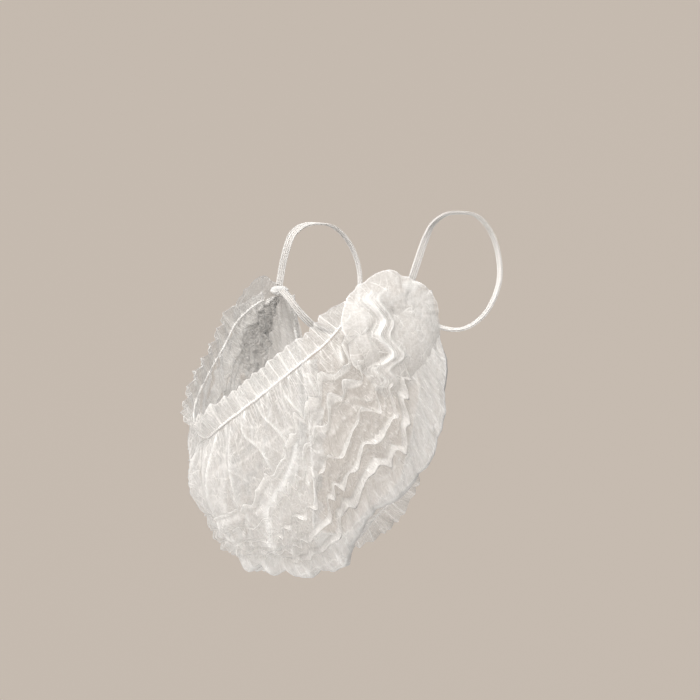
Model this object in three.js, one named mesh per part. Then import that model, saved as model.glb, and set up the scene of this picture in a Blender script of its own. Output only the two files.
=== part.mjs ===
// A disposable beard net of thin nonwoven cloth, in the form it has when worn. A pleated pouch holds the
// chin and the beard, elastic threads gather its two long edges into ruffles, and a flat knitted loop goes
// over each ear. Millimetres. The wearer faces -Y with the left ear towards +X. The origin is midway
// between the tops of the two loops.
import * as THREE from "three";

// Driving sizes.
const NET_WIDTH = 144; // across the two sides of the outer fold
const FACE_REACH = 105; // from the ears forward to the upper edge under the nose
const END_DROP = 42; // from the ears down to the gathered ends
const NOSE_DROP = 113; // from the ears down to the middle of the upper edge
const BAG_DROP = 182; // from the ears down to the lowest part of the outer fold
const CLOTH_WALL = 1.0;
const CHIN_BULGE = 13.5; // how far the cloth stands off in front of the chin
const PLEAT_HEIGHT = 4.6; // height of a pleat's crest over the pouch
const PLEAT_ZIGZAG = 2.6; // how far a crest wanders to either side of its line
const PLEAT_WAVES = 14; // zigzags from ear to ear
const GATHER_WAVES = 24; // gathers from ear to ear
const GATHER_HEIGHT = 1.3; // height of the gathers beside an elastic
const UPPER_RUFFLE_WIDTH = 10; // width of the loose cloth beyond the upper elastic
const LOWER_RUFFLE_WIDTH = 8.5; // and beyond the lower one
const RUFFLE_RIPPLE = 2.2; // how far its free edge waves to either side
const THREAD_WIDTH = 1.2; // elastic thread
const SEAM_GAP = 0.5; // clearance between a thread and the cloth on either side of it
const STRAP_WIDTH = 3.2; // flat knitted ear loop
const STRAP_THICKNESS = 1.0;
const EAR_OUT = 4.1; // from the pressed ends sideways to the loops' tops
const EAR_BACK = 26; // from the ears back to the rearmost part of a loop
const LOOP_HEIGHT = 59; // from top to bottom of a loop
const WELD_LENGTH = 11; // pressed end that holds the pleats and the loop
const WELD_HEIGHT = 5.4;
const WELD_THICKNESS = 3.4;
const WELD_PLACE = 0.38; // share of the way along the pouch's gathered end, from its front
const FRILL_HEIGHT = 9; // upwards, of the fan of loose cloth over a pressed end
const FRILL_LENGTH = 12.5; // forwards and backwards
const FRILL_OFFSET = 6; // its middle lies this far in front of the pressed end's
const FRILL_RIPPLE = 1.5;
const FRILL_FOLDS = 6;
const FRILL_FROM = -50; // degrees above the horizontal, at its lower back corner
const FRILL_TO = 230; // and at its lower front corner
const FIT_GAP = 0.3; // clearance between pieces that touch

// How finely the pieces are faceted.
const CLOTH_COLUMNS = GATHER_WAVES * 4;
const THREAD_STEPS = 56;
const THREAD_SIDES = 5;
const STRAP_STEPS = 44;
const FRILL_COLUMNS = FRILL_FOLDS * 4;
const WELD_SIDES = 12;

// Colours from the photograph.
const CLOTH = { color: "#ebe4df", roughness: 0.9, metalness: 0 };
const THREAD = { color: "#f5f1ec", roughness: 0.75, metalness: 0 };
const STRAP = { color: "#f3efe9", roughness: 0.8, metalness: 0 };

// Sections of the net, from the middle of the chin (at 0) to the gathered end (at 1). Each gives three
// points: on the upper elastic, on the outer fold, and on the lower elastic. side is a share of half of
// NET_WIDTH, front a share of FACE_REACH, and drop a share of the way down from the ends to the upper
// edge's middle, or to the outer fold's lowest part. bulge is a share of CHIN_BULGE, flare the upper
// ruffle's lean away from the face, and turn the lower one's lean backwards, both in degrees.
const SECTIONS = [
  {
    at: 0.0,
    upper: { side: 0.0, front: 1.0, drop: 1.0 },
    fold: { side: 0.0, front: 0.743, drop: 0.96 },
    lower: { side: 0.0, front: 0.343, drop: 0.864 },
    bulge: 1.0,
    flare: 58,
    turn: 20,
  },
  {
    at: 0.15,
    upper: { side: 0.222, front: 0.981, drop: 0.901 },
    fold: { side: 0.278, front: 0.571, drop: 0.985 },
    lower: { side: 0.208, front: 0.314, drop: 0.864 },
    bulge: 0.9,
    flare: 45,
    turn: 16,
  },
  {
    at: 0.3,
    upper: { side: 0.431, front: 0.895, drop: 0.746 },
    fold: { side: 0.486, front: 0.448, drop: 0.955 },
    lower: { side: 0.389, front: 0.257, drop: 0.821 },
    bulge: 0.85,
    flare: 30,
    turn: 12,
  },
  {
    at: 0.45,
    upper: { side: 0.597, front: 0.762, drop: 0.563 },
    fold: { side: 0.667, front: 0.4, drop: 0.79 },
    lower: { side: 0.542, front: 0.19, drop: 0.743 },
    bulge: 0.75,
    flare: 24,
    turn: 12,
  },
  {
    at: 0.6,
    upper: { side: 0.736, front: 0.629, drop: 0.38 },
    fold: { side: 0.861, front: 0.2, drop: 0.65 },
    lower: { side: 0.653, front: 0.162, drop: 0.629 },
    bulge: 0.6,
    flare: 24,
    turn: 15,
  },
  {
    at: 0.75,
    upper: { side: 0.812, front: 0.533, drop: 0.169 },
    fold: { side: 0.958, front: 0.105, drop: 0.49 },
    lower: { side: 0.75, front: 0.143, drop: 0.471 },
    bulge: 0.45,
    flare: 30,
    turn: 35,
  },
  {
    at: 0.9,
    upper: { side: 0.889, front: 0.4, drop: 0.042 },
    fold: { side: 1.0, front: 0.086, drop: 0.236 },
    lower: { side: 0.861, front: 0.143, drop: 0.236 },
    bulge: 0.25,
    flare: 30,
    turn: 60,
  },
  {
    at: 1.0,
    upper: { side: 0.9375, front: 0.3, drop: -0.02 },
    fold: { side: 0.975, front: 0.138, drop: -0.02 },
    lower: { side: 0.889, front: 0.21, drop: 0.015 },
    bulge: 0.0,
    flare: 12,
    turn: 60,
  },
];

// Lines that run along the cloth from ear to ear, from the upper elastic over the outer fold to the lower
// elastic. place is where a line lies across the cloth at each station: a share of the way from the upper
// elastic (0) to the outer fold (1) and on to the lower elastic (2). In form, lift is a share of
// PLEAT_HEIGHT, zigzag a share of PLEAT_ZIGZAG, shift moves the zigzag along by a share of a wave, and
// gather is a share of GATHER_HEIGHT.
const LINES = [
  {
    name: "upper_edge",
    place: { chin: 0.0, jaw: 0.0, cheek: 0.0, ear: 0.0, end: 0.0 },
    form: { lift: 0.0, zigzag: 0.0, shift: 0, gather: 0.3 },
  },
  {
    name: "gathers",
    place: { chin: 0.14, jaw: 0.11, cheek: 0.06, ear: 0.04, end: 0.04 },
    form: { lift: 0.1, zigzag: 0.0, shift: 0, gather: 1.0 },
  },
  {
    name: "panel",
    place: { chin: 0.34, jaw: 0.27, cheek: 0.11, ear: 0.08, end: 0.08 },
    form: { lift: 0.1, zigzag: 0.2, shift: 0.1, gather: 0.6 },
  },
  {
    name: "crest_1",
    place: { chin: 0.53, jaw: 0.4, cheek: 0.17, ear: 0.14, end: 0.13 },
    form: { lift: 1.0, zigzag: 1.0, shift: 0.1, gather: 0.2 },
  },
  {
    name: "valley_1",
    place: { chin: 0.58, jaw: 0.45, cheek: 0.235, ear: 0.19, end: 0.18 },
    form: { lift: 0.0, zigzag: 0.8, shift: 0.25, gather: 0 },
  },
  {
    name: "crest_2",
    place: { chin: 0.63, jaw: 0.5, cheek: 0.3, ear: 0.24, end: 0.23 },
    form: { lift: 0.9, zigzag: 1.0, shift: 0.4, gather: 0 },
  },
  {
    name: "valley_2",
    place: { chin: 0.675, jaw: 0.555, cheek: 0.4, ear: 0.3, end: 0.28 },
    form: { lift: -0.1, zigzag: 0.7, shift: 0.5, gather: 0 },
  },
  {
    name: "crest_3",
    place: { chin: 0.72, jaw: 0.61, cheek: 0.5, ear: 0.36, end: 0.33 },
    form: { lift: 1.25, zigzag: 1.3, shift: 0.6, gather: 0 },
  },
  {
    name: "valley_3",
    place: { chin: 0.76, jaw: 0.66, cheek: 0.57, ear: 0.43, end: 0.38 },
    form: { lift: 0.1, zigzag: 0.8, shift: 0.8, gather: 0 },
  },
  {
    name: "crest_4",
    place: { chin: 0.8, jaw: 0.71, cheek: 0.635, ear: 0.5, end: 0.43 },
    form: { lift: 0.95, zigzag: 1.0, shift: 0.95, gather: 0 },
  },
  {
    name: "valley_4",
    place: { chin: 0.835, jaw: 0.76, cheek: 0.7, ear: 0.57, end: 0.48 },
    form: { lift: -0.1, zigzag: 0.7, shift: 1.1, gather: 0 },
  },
  {
    name: "crest_5",
    place: { chin: 0.87, jaw: 0.81, cheek: 0.765, ear: 0.64, end: 0.53 },
    form: { lift: 0.9, zigzag: 1.0, shift: 1.25, gather: 0 },
  },
  {
    name: "foot",
    place: { chin: 0.905, jaw: 0.86, cheek: 0.83, ear: 0.72, end: 0.6 },
    form: { lift: 0.1, zigzag: 0.4, shift: 1.3, gather: 0 },
  },
  {
    name: "band",
    place: { chin: 0.95, jaw: 0.93, cheek: 0.92, ear: 0.86, end: 0.72 },
    form: { lift: 0.45, zigzag: 0.0, shift: 0, gather: 0.3 },
  },
  {
    name: "outer_fold",
    place: { chin: 1.0, jaw: 1.0, cheek: 1.0, ear: 1.0, end: 1.0 },
    form: { lift: 0.75, zigzag: 0.9, shift: 0.3, gather: 0 },
  },
  {
    name: "under_fold",
    place: { chin: 1.3, jaw: 1.3, cheek: 1.3, ear: 1.3, end: 1.35 },
    form: { lift: 0.2, zigzag: 0.0, shift: 0, gather: 0 },
  },
  {
    name: "lower_gathers",
    place: { chin: 1.7, jaw: 1.7, cheek: 1.7, ear: 1.7, end: 1.7 },
    form: { lift: 0.0, zigzag: 0.0, shift: 0, gather: 0.8 },
  },
  {
    name: "lower_edge",
    place: { chin: 2.0, jaw: 2.0, cheek: 2.0, ear: 2.0, end: 2.0 },
    form: { lift: 0.0, zigzag: 0.0, shift: 0, gather: 0.3 },
  },
];
const LINE_STATIONS = { chin: 0, jaw: 0.3, cheek: 0.6, ear: 0.9, end: 1 };
// How much of the pleats' height is there at each station.
const PLEAT_FADE = [
  { at: 0.0, share: 0.45 },
  { at: 0.3, share: 0.95 },
  { at: 0.6, share: 1.0 },
  { at: 0.9, share: 0.55 },
  { at: 1.0, share: 0.0 },
];
// Route of the left ear loop between its two ends at the pressed end. back is a share of the way from the
// pressed end back to the rearmost part, drop a share of LOOP_HEIGHT, out a share of EAR_OUT, and turn how
// far the flat of the strap has turned from facing sideways to facing away from the ear.
const LOOP_ROUTE = [
  { back: 0.06, drop: 0.388, out: 0.46, turn: 0.0 },
  { back: 0.117, drop: 0.241, out: 0.68, turn: 0.1 },
  { back: 0.185, drop: 0.116, out: 0.88, turn: 0.35 },
  { back: 0.27, drop: 0.05, out: 0.98, turn: 0.55 },
  { back: 0.367, drop: 0.012, out: 1.0, turn: 0.75 },
  { back: 0.489, drop: 0.0, out: 1.0, turn: 0.9 },
  { back: 0.69, drop: 0.02, out: 1.0, turn: 1.0 },
  { back: 0.864, drop: 0.147, out: 0.8, turn: 1.0 },
  { back: 0.98, drop: 0.37, out: 0.5, turn: 1.0 },
  { back: 0.99, drop: 0.61, out: 0.3, turn: 1.0 },
  { back: 0.85, drop: 0.87, out: -0.2, turn: 1.0 },
  { back: 0.62, drop: 1.0, out: -0.9, turn: 0.9 },
  { back: 0.35, drop: 0.965, out: -1.8, turn: 0.5 },
  { back: 0.155, drop: 0.84, out: -2.15, turn: 0.1 },
  { back: 0.05, drop: 0.72, out: -1.8, turn: 0.0 },
];

const UP = new THREE.Vector3(0, 0, 1);
const SIDEWAYS = new THREE.Vector3(1, 0, 0);
// A point in the mouth, from which the cloth's outward direction is measured.
const MOUTH = new THREE.Vector3(0, -0.38 * FACE_REACH, -1.06 * NOSE_DROP);

const lerp = THREE.MathUtils.lerp;
const clamp = THREE.MathUtils.clamp;

// A smooth curve through a table's rows, read at s. value picks a row's number. odd curves change sign at
// the middle.
function along(rows, value, s, odd = false) {
  let i = rows.findIndex((row, k) => k > 0 && s <= row.at);
  if (i < 0) i = rows.length - 1;
  const slope = (k) => {
    if (k === 0) return odd ? value(rows[1]) / rows[1].at : 0;
    const next = Math.min(k + 1, rows.length - 1);
    return (value(rows[next]) - value(rows[k - 1])) / (rows[next].at - rows[k - 1].at);
  };
  const span = rows[i].at - rows[i - 1].at;
  const t = (s - rows[i - 1].at) / span;
  const [t2, t3] = [t ** 2, t ** 3];
  const hermite = [2 * t3 - 3 * t2 + 1, t3 - 2 * t2 + t, -2 * t3 + 3 * t2, t3 - t2];
  return (
    hermite[0] * value(rows[i - 1]) +
    hermite[1] * span * slope(i - 1) +
    hermite[2] * value(rows[i]) +
    hermite[3] * span * slope(i)
  );
}

// One of a section's three points, at u from the right end (-1) to the left end (1).
function sectionPoint(which, u) {
  const s = Math.abs(u);
  const fullDrop = which === "upper" ? NOSE_DROP : BAG_DROP;
  const side = along(SECTIONS, (row) => row[which].side, s, true);
  const front = along(SECTIONS, (row) => row[which].front, s);
  const drop = along(SECTIONS, (row) => row[which].drop, s);
  return new THREE.Vector3(
    (Math.sign(u) * side * NET_WIDTH) / 2,
    -front * FACE_REACH,
    -lerp(END_DROP, fullDrop, drop),
  );
}

const outward = (point) => point.clone().sub(MOUTH).normalize();

// A wave from -1 to 1 with the rounded corners of creased cloth.
function crease(phase) {
  const wave = Math.sin(2 * Math.PI * phase);
  return Math.asin(0.93 * wave) / Math.asin(0.93);
}

// A point of the unpleated pouch. across is 0 at the upper elastic, 1 at the outer fold and 2 at the lower
// elastic.
function pouchPoint(u, across) {
  const fold = sectionPoint("fold", u);
  const edge = sectionPoint(across < 1 ? "upper" : "lower", u);
  const seam = (THREAD_WIDTH / 2 + SEAM_GAP) / fold.distanceTo(edge);
  const share = lerp(1 - seam, 0, Math.abs(1 - across) < 1e-9 ? 1 : 1 - Math.abs(1 - across));
  const point = fold.lerp(edge, share);
  const bulge = across < 1 ? along(SECTIONS, (row) => row.bulge, Math.abs(u)) : 0;
  return point.addScaledVector(outward(point), bulge * CHIN_BULGE * Math.sin(Math.PI * clamp(across, 0, 1)));
}

// A point of the pleated pouch, on one of its LINES.
function pleatPoint(u, line) {
  const s = Math.abs(u);
  const form = line.form;
  const rows = Object.entries(LINE_STATIONS).map(([station, at]) => ({ at, share: line.place[station] }));
  const place = along(rows, (row) => row.share, s);
  const fade = Math.max(0, along(PLEAT_FADE, (row) => row.share, s));
  const height = sectionPoint("fold", u).distanceTo(sectionPoint(place < 1 ? "upper" : "lower", u));
  const zigzag = form.zigzag * PLEAT_ZIGZAG * fade * crease((u / 2) * PLEAT_WAVES + form.shift);
  const isFold = line.name === "outer_fold";
  const point = pouchPoint(u, isFold ? 1 : place + zigzag / height);
  const away = outward(point);
  const gather = form.gather * GATHER_HEIGHT * (1 - s ** 6) * Math.sin(Math.PI * u * GATHER_WAVES);
  const scallop = isFold ? zigzag : 0;
  return point.addScaledVector(away, form.lift * PLEAT_HEIGHT * fade + gather + scallop);
}

// A ruffle's two base directions at u: the way its cloth runs, and the way its waves go.
function ruffleFrame(which, u) {
  const s = Math.abs(u);
  const step = 0.01;
  const base = sectionPoint(which, u);
  const tangent = sectionPoint(which, u + step).sub(sectionPoint(which, u - step)).normalize();
  let run;
  if (which === "upper") {
    const flare = THREE.MathUtils.degToRad(along(SECTIONS, (row) => row.flare, s));
    const away = outward(base);
    const up = base.clone().sub(pouchPoint(u, 0.2));
    up.addScaledVector(away, -up.dot(away)).addScaledVector(tangent, -up.dot(tangent)).normalize();
    run = up.multiplyScalar(Math.cos(flare)).addScaledVector(away, Math.sin(flare));
  } else {
    const turn = THREE.MathUtils.degToRad(along(SECTIONS, (row) => row.turn, s));
    run = new THREE.Vector3(-0.3 * Math.sign(u) * s, Math.sin(turn), -Math.cos(turn));
  }
  run.addScaledVector(tangent, -run.dot(tangent)).normalize();
  return { base, run, wave: new THREE.Vector3().crossVectors(run, tangent) };
}

// A point of a ruffle, from its thread (reach 0) to its free edge (reach 1).
function rufflePoint(which, u, reach) {
  const { base, run, wave } = ruffleFrame(which, u);
  const clear = THREAD_WIDTH / 2 + SEAM_GAP;
  const fold = Math.sin(Math.PI * u * GATHER_WAVES);
  const width = which === "upper" ? UPPER_RUFFLE_WIDTH : LOWER_RUFFLE_WIDTH;
  const uneven = 1 + 0.1 * Math.sin(9.7 * u + 1.3);
  return base
    .addScaledVector(run, lerp(clear, width * uneven, reach))
    .addScaledVector(wave, RUFFLE_RIPPLE * fold * reach);
}

// The closed surface through rings of points, rings[i][j], whose two end rings are capped. Every ring is a
// loop whose first half lies opposite its second half, so that a cap is a strip of flat pieces.
function loftRings(rings) {
  const sides = rings[0].length;
  const positions = rings.flat().flatMap((p) => p.toArray());
  const index = [];
  for (let i = 0; i < rings.length - 1; i++)
    for (let j = 0; j < sides; j++) {
      const [a, b] = [i * sides + j, i * sides + ((j + 1) % sides)];
      index.push(a, a + sides, b + sides, a, b + sides, b);
    }
  const last = (rings.length - 1) * sides;
  for (let j = 0; j < Math.floor(sides / 2) - 1; j++) {
    const [a, b, c, d] = [j, j + 1, sides - 2 - j, sides - 1 - j];
    index.push(a, b, c, a, c, d);
    index.push(last + a, last + c, last + b, last + a, last + d, last + c);
  }
  if (sides % 2 === 1) {
    const middle = (sides - 1) / 2;
    index.push(middle - 1, middle, middle + 1);
    index.push(last + middle - 1, last + middle + 1, last + middle);
  }
  const geometry = new THREE.BufferGeometry();
  geometry.setAttribute("position", new THREE.Float32BufferAttribute(positions, 3));
  geometry.setIndex(index);
  return facingOut(geometry);
}

// Turns every face over, if they point inwards: then the volume inside them counts as negative.
function facingOut(geometry) {
  const corners = geometry.getAttribute("position");
  const index = geometry.index.array;
  const point = (i) => new THREE.Vector3().fromBufferAttribute(corners, index[i]);
  let volume = 0;
  for (let i = 0; i < index.length; i += 3) volume += point(i).dot(point(i + 1).cross(point(i + 2)));
  return volume < 0 ? turnedOver(geometry) : geometry;
}

function turnedOver(geometry) {
  const index = geometry.index.array;
  for (let i = 0; i < index.length; i += 3) [index[i + 1], index[i + 2]] = [index[i + 2], index[i + 1]];
  return geometry;
}

// A wall of CLOTH_WALL around a sheet, given as grid[i][j] points. Its corners are mitred so that it keeps
// its thickness.
function clothWall(grid) {
  const [columns, rows] = [grid.length, grid[0].length];
  const at = (i, j) => grid[clamp(i, 0, columns - 1)][clamp(j, 0, rows - 1)];
  const faceNormal = (i, j) => {
    const [a, b, c, d] = [at(i, j), at(i + 1, j), at(i + 1, j + 1), at(i, j + 1)];
    return new THREE.Vector3().crossVectors(c.clone().sub(a), d.clone().sub(b)).normalize();
  };
  const rings = grid.map((column, i) => {
    const front = [];
    const back = [];
    column.forEach((point, j) => {
      const around = [];
      for (const k of [i - 1, i]) for (const l of [j - 1, j]) {
        if (k >= 0 && l >= 0 && k < columns - 1 && l < rows - 1) around.push(faceNormal(k, l));
      }
      const normal = around.reduce((sum, n) => sum.add(n), new THREE.Vector3()).normalize();
      const mitre = around.reduce((sum, n) => sum + n.dot(normal), 0) / around.length;
      const half = CLOTH_WALL / 2 / clamp(mitre, 0.75, 1);
      front.push(point.clone().addScaledVector(normal, half));
      back.push(point.clone().addScaledVector(normal, -half));
    });
    return front.concat(back.reverse());
  });
  return loftRings(rings);
}

// Evenly spaced numbers from first to last.
function spread(first, last, steps) {
  return Array.from({ length: steps + 1 }, (_, i) => lerp(first, last, i / steps));
}

function netPouch() {
  return clothWall(spread(-1, 1, CLOTH_COLUMNS).map((u) => LINES.map((line) => pleatPoint(u, line))));
}

// A ruffle stops short of the pressed ends by this share of the way from the middle.
const RUFFLE_END = { upper: 0.97, lower: 0.9 };

function ruffle(which) {
  const end = RUFFLE_END[which];
  const columns = Math.round(CLOTH_COLUMNS * end);
  const across = (u) => [0, 0.5, 1].map((reach) => rufflePoint(which, u, reach));
  return clothWall(spread(-end, end, columns).map(across));
}

function edgeElastic(which) {
  const end = 0.95;
  const rings = spread(-end, end, THREAD_STEPS).map((u) => {
    const { base, run, wave } = ruffleFrame(which, u);
    return Array.from({ length: THREAD_SIDES }, (_, k) => {
      const angle = (2 * Math.PI * k) / THREAD_SIDES;
      return base
        .clone()
        .addScaledVector(run, (Math.cos(angle) * THREAD_WIDTH) / 2)
        .addScaledVector(wave, (Math.sin(angle) * THREAD_WIDTH) / 2);
    });
  });
  return loftRings(rings);
}

// The middle of the left pressed end, just over the gathered end of the pouch.
function weldCentre() {
  const [upper, fold] = [sectionPoint("upper", 1), sectionPoint("fold", 1)];
  const middle = upper.lerp(fold, WELD_PLACE);
  return middle.addScaledVector(UP, FIT_GAP + WELD_HEIGHT / 2);
}

function endWeld() {
  const shape = new THREE.Shape().absellipse(0, 0, WELD_LENGTH / 2, WELD_HEIGHT / 2, 0, 2 * Math.PI);
  const bevel = 0.25 * WELD_THICKNESS;
  const geometry = new THREE.ExtrudeGeometry(shape, {
    depth: WELD_THICKNESS - 2 * bevel,
    bevelSize: -bevel,
    bevelOffset: 0,
    bevelThickness: bevel,
    bevelSegments: 1,
    curveSegments: WELD_SIDES,
  });
  geometry.translate(0, 0, bevel - WELD_THICKNESS / 2);
  geometry.rotateX(Math.PI / 2).rotateZ(Math.PI / 2);
  const centre = weldCentre();
  return geometry.translate(centre.x, centre.y, centre.z);
}

// A fan of loose cloth that covers the outside of the left pressed end.
function endFrill() {
  const centre = weldCentre();
  const clear = WELD_THICKNESS / 2 + FIT_GAP + CLOTH_WALL / 2;
  const grid = spread(FRILL_FROM, FRILL_TO, FRILL_COLUMNS).map((degrees, i) => {
    const angle = THREE.MathUtils.degToRad(degrees);
    const fold = Math.sin((2 * Math.PI * FRILL_FOLDS * i) / FRILL_COLUMNS);
    return [0, 0.5, 1].map((share) => {
      const reach = lerp(0.2, 1, share);
      return new THREE.Vector3(
        centre.x + clear + 0.16 * share * FRILL_HEIGHT + FRILL_RIPPLE * share * (1 + fold),
        centre.y - FRILL_OFFSET + Math.cos(angle) * reach * FRILL_LENGTH,
        centre.z + Math.sin(angle) * reach * FRILL_HEIGHT,
      );
    });
  });
  return clothWall(grid);
}

// The flat strap of the left ear loop, from the top of the pressed end over and behind the ear to its inner
// side.
function earLoop() {
  const centre = weldCentre();
  const backSpan = EAR_BACK - centre.y;
  const route = LOOP_ROUTE.map(
    (row) =>
      new THREE.Vector3(
        centre.x + row.out * EAR_OUT,
        centre.y + row.back * backSpan,
        -STRAP_THICKNESS / 2 - row.drop * (LOOP_HEIGHT - STRAP_THICKNESS),
      ),
  );
  const start = centre.clone().add(new THREE.Vector3(0, 0, WELD_HEIGHT / 2 + FIT_GAP));
  const finish = centre.clone().add(new THREE.Vector3(-WELD_THICKNESS / 2 - 2 * FIT_GAP, 0, 0));
  const curve = new THREE.CatmullRomCurve3([start, ...route, finish], false, "centripetal");
  const turns = [0, ...LOOP_ROUTE.map((row) => row.turn), 0];
  const rings = spread(0, 1, STRAP_STEPS).map((t) => {
    const point = curve.getPoint(t);
    const tangent = curve.getTangent(t);
    const place = t * (turns.length - 1);
    const before = Math.min(Math.floor(place), turns.length - 2);
    const turn = lerp(turns[before], turns[before + 1], place - before) * (Math.PI / 2);
    const lateral = SIDEWAYS.clone().addScaledVector(tangent, -tangent.x).normalize();
    const away = new THREE.Vector3().crossVectors(lateral, tangent).negate();
    const flat = lateral.multiplyScalar(Math.cos(turn)).addScaledVector(away, Math.sin(turn));
    const width = new THREE.Vector3().crossVectors(tangent, flat);
    return [[-1, -1], [1, -1], [1, 1], [-1, 1]].map(([a, b]) =>
      point
        .clone()
        .addScaledVector(width, (a * STRAP_WIDTH) / 2)
        .addScaledVector(flat, (b * STRAP_THICKNESS) / 2),
    );
  });
  return loftRings(rings);
}

// A geometry's mirror image on the wearer's other side, with its faces still pointing out.
function mirrored(geometry) {
  const other = geometry.clone().scale(-1, 1, 1);
  if (!other.index) other.setIndex([...Array(other.getAttribute("position").count).keys()]);
  return turnedOver(other);
}

const net = new THREE.Group();

function add(name, geometry, finish) {
  const mesh = new THREE.Mesh(geometry, new THREE.MeshStandardMaterial(finish));
  mesh.name = name;
  net.add(mesh);
}

function addPair(name, geometry, finish) {
  add(name + "_left", geometry, finish);
  add(name + "_right", mirrored(geometry), finish);
}

add("net_pouch", netPouch(), CLOTH);
for (const which of ["upper", "lower"]) {
  add(which + "_ruffle", ruffle(which), CLOTH);
  add(which + "_elastic", edgeElastic(which), THREAD);
}
addPair("end_weld", endWeld(), CLOTH);
addPair("end_frill", endFrill(), CLOTH);
addPair("ear_loop", earLoop(), STRAP);

export default net;
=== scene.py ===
"""The looks of a disposable beard net, dressed over its frame.

A pouch of thin white nonwoven cloth is pleated from end to end. Elastic threads gather both of its long edges
into ruffles, its two ends are pressed together, and each holds a flat knitted ear loop.
Lengths in the tables are shares of named sizes. Sizes are in metres and angles in degrees unless a comment
says otherwise. The net's front is at -Y and its left end at +X, and the origin is midway between the tops of
the two ear loops.
"""

import logging
import math
from dataclasses import dataclass, field
from enum import Enum

import bpy
import numpy as np
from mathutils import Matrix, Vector


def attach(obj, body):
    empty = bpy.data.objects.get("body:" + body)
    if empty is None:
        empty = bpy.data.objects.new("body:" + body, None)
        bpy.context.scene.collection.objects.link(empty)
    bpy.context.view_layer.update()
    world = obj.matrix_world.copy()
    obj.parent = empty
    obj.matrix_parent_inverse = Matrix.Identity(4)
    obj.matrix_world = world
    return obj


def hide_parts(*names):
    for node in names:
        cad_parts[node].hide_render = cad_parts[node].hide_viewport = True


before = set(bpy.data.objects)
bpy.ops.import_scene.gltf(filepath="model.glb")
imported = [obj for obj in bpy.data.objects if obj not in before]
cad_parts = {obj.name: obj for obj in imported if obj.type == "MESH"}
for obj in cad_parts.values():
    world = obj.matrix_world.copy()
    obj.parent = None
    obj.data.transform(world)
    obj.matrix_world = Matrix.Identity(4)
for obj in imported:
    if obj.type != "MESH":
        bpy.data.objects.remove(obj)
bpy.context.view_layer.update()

LOG = logging.getLogger("beard_net")
MM = 0.001


# Numbers and curves


def along(at: np.ndarray, values: np.ndarray, s: np.ndarray, odd: bool = False) -> np.ndarray:
    """Reads a smooth curve through a table.

    Args:
        at: the table's places, rising.
        values: a value, or a row of values, for each place.
        s: where to read the curve.
        odd: whether the curve changes sign at the middle, so that it has a slope there.

    Returns:
        The values at s, with one more axis if values has rows.
    """
    at, values = np.asarray(at, float), np.asarray(values, float)
    column = values.reshape(len(at), -1)
    slope = np.empty_like(column)
    slope[1:-1] = (column[2:] - column[:-2]) / (at[2:] - at[:-2])[:, None]
    slope[-1] = (column[-1] - column[-2]) / (at[-1] - at[-2])
    slope[0] = column[1] / at[1] if odd else 0.0
    s = np.asarray(s, float)
    i = np.clip(np.searchsorted(at, s), 1, len(at) - 1)
    span = (at[i] - at[i - 1])[..., None]
    t = (s - at[i - 1])[..., None] / span
    t2, t3 = t * t, t * t * t
    found = (
        (2 * t3 - 3 * t2 + 1) * column[i - 1]
        + (t3 - 2 * t2 + t) * span * slope[i - 1]
        + (3 * t2 - 2 * t3) * column[i]
        + (t3 - t2) * span * slope[i]
    )
    return found if values.ndim > 1 else found[..., 0]


def unit(vectors: np.ndarray) -> np.ndarray:
    """The same directions at length 1."""
    return vectors / np.maximum(np.linalg.norm(vectors, axis=-1, keepdims=True), 1e-12)


def crease_wave(phase: np.ndarray, sharpness: float = 0.93) -> np.ndarray:
    """A wave from -1 to 1 with the rounded corners of creased cloth, once for each whole number of phase."""
    return np.arcsin(sharpness * np.sin(2 * np.pi * phase)) / math.asin(sharpness)


def smooth_step(low: float, high: float, x: np.ndarray) -> np.ndarray:
    """Rises from 0 at low to 1 at high, level at both ends."""
    t = np.clip((x - low) / (high - low), 0.0, 1.0)
    return t * t * (3 - 2 * t)


def bell(x: np.ndarray | float, width: float) -> np.ndarray:
    """Falls smoothly from 1 at x = 0, to about a third at width on either side."""
    return np.exp(-((x / width) ** 2))


def past(x: np.ndarray, low: float) -> np.ndarray:
    """How far x has gone from low to 1, and 0 below low."""
    return np.clip(x - low, 0, 1) / (1 - low)


def ring_angles(sides: int) -> np.ndarray:
    """Even angles for the points of a ring, in radians."""
    return np.linspace(0, 2 * np.pi, sides + 1)[:-1]


def distances(points: np.ndarray) -> np.ndarray:
    """The distance of each point of a line from its first one, along the line."""
    return np.concatenate([[0], np.cumsum(np.linalg.norm(np.diff(points, axis=0), axis=-1))])


@dataclass(frozen=True)
class Unevenness:
    """Smooth chance values over a plane, the same each time for the same seed."""

    seed: int
    cells: int = 97

    def at(self, x: np.ndarray, y: np.ndarray | float = 0.0) -> np.ndarray:
        """Reads a value from -1 to 1.

        Args:
            x: place along, in cells.
            y: place across, in cells.

        Returns:
            Values of the broadcast shape of x and y.
        """
        table = np.random.RandomState(self.seed).uniform(-1, 1, (self.cells, self.cells))
        x, y = np.broadcast_arrays(np.asarray(x, float), np.asarray(y, float))
        i, j = np.floor(x).astype(int), np.floor(y).astype(int)
        a, b = x - i, y - j
        a, b = a * a * a * (a * (6 * a - 15) + 10), b * b * b * (b * (6 * b - 15) + 10)
        i0, i1, j0, j1 = i % self.cells, (i + 1) % self.cells, j % self.cells, (j + 1) % self.cells
        low = table[i0, j0] * (1 - a) + table[i1, j0] * a
        high = table[i0, j1] * (1 - a) + table[i1, j1] * a
        return low * (1 - b) + high * b

    def creases(self, x: np.ndarray, y: np.ndarray | float = 0.0) -> np.ndarray:
        """Narrow raised lines, 1 on a line and falling towards -1 away from it. Args and result as for at."""
        return 1.0 - 3.2 * np.abs(self.at(x, y))


# The worn form


class Edge(Enum):
    """The three lines along the net that its sections fix."""

    UPPER = "upper"
    FOLD = "fold"
    LOWER = "lower"


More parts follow.
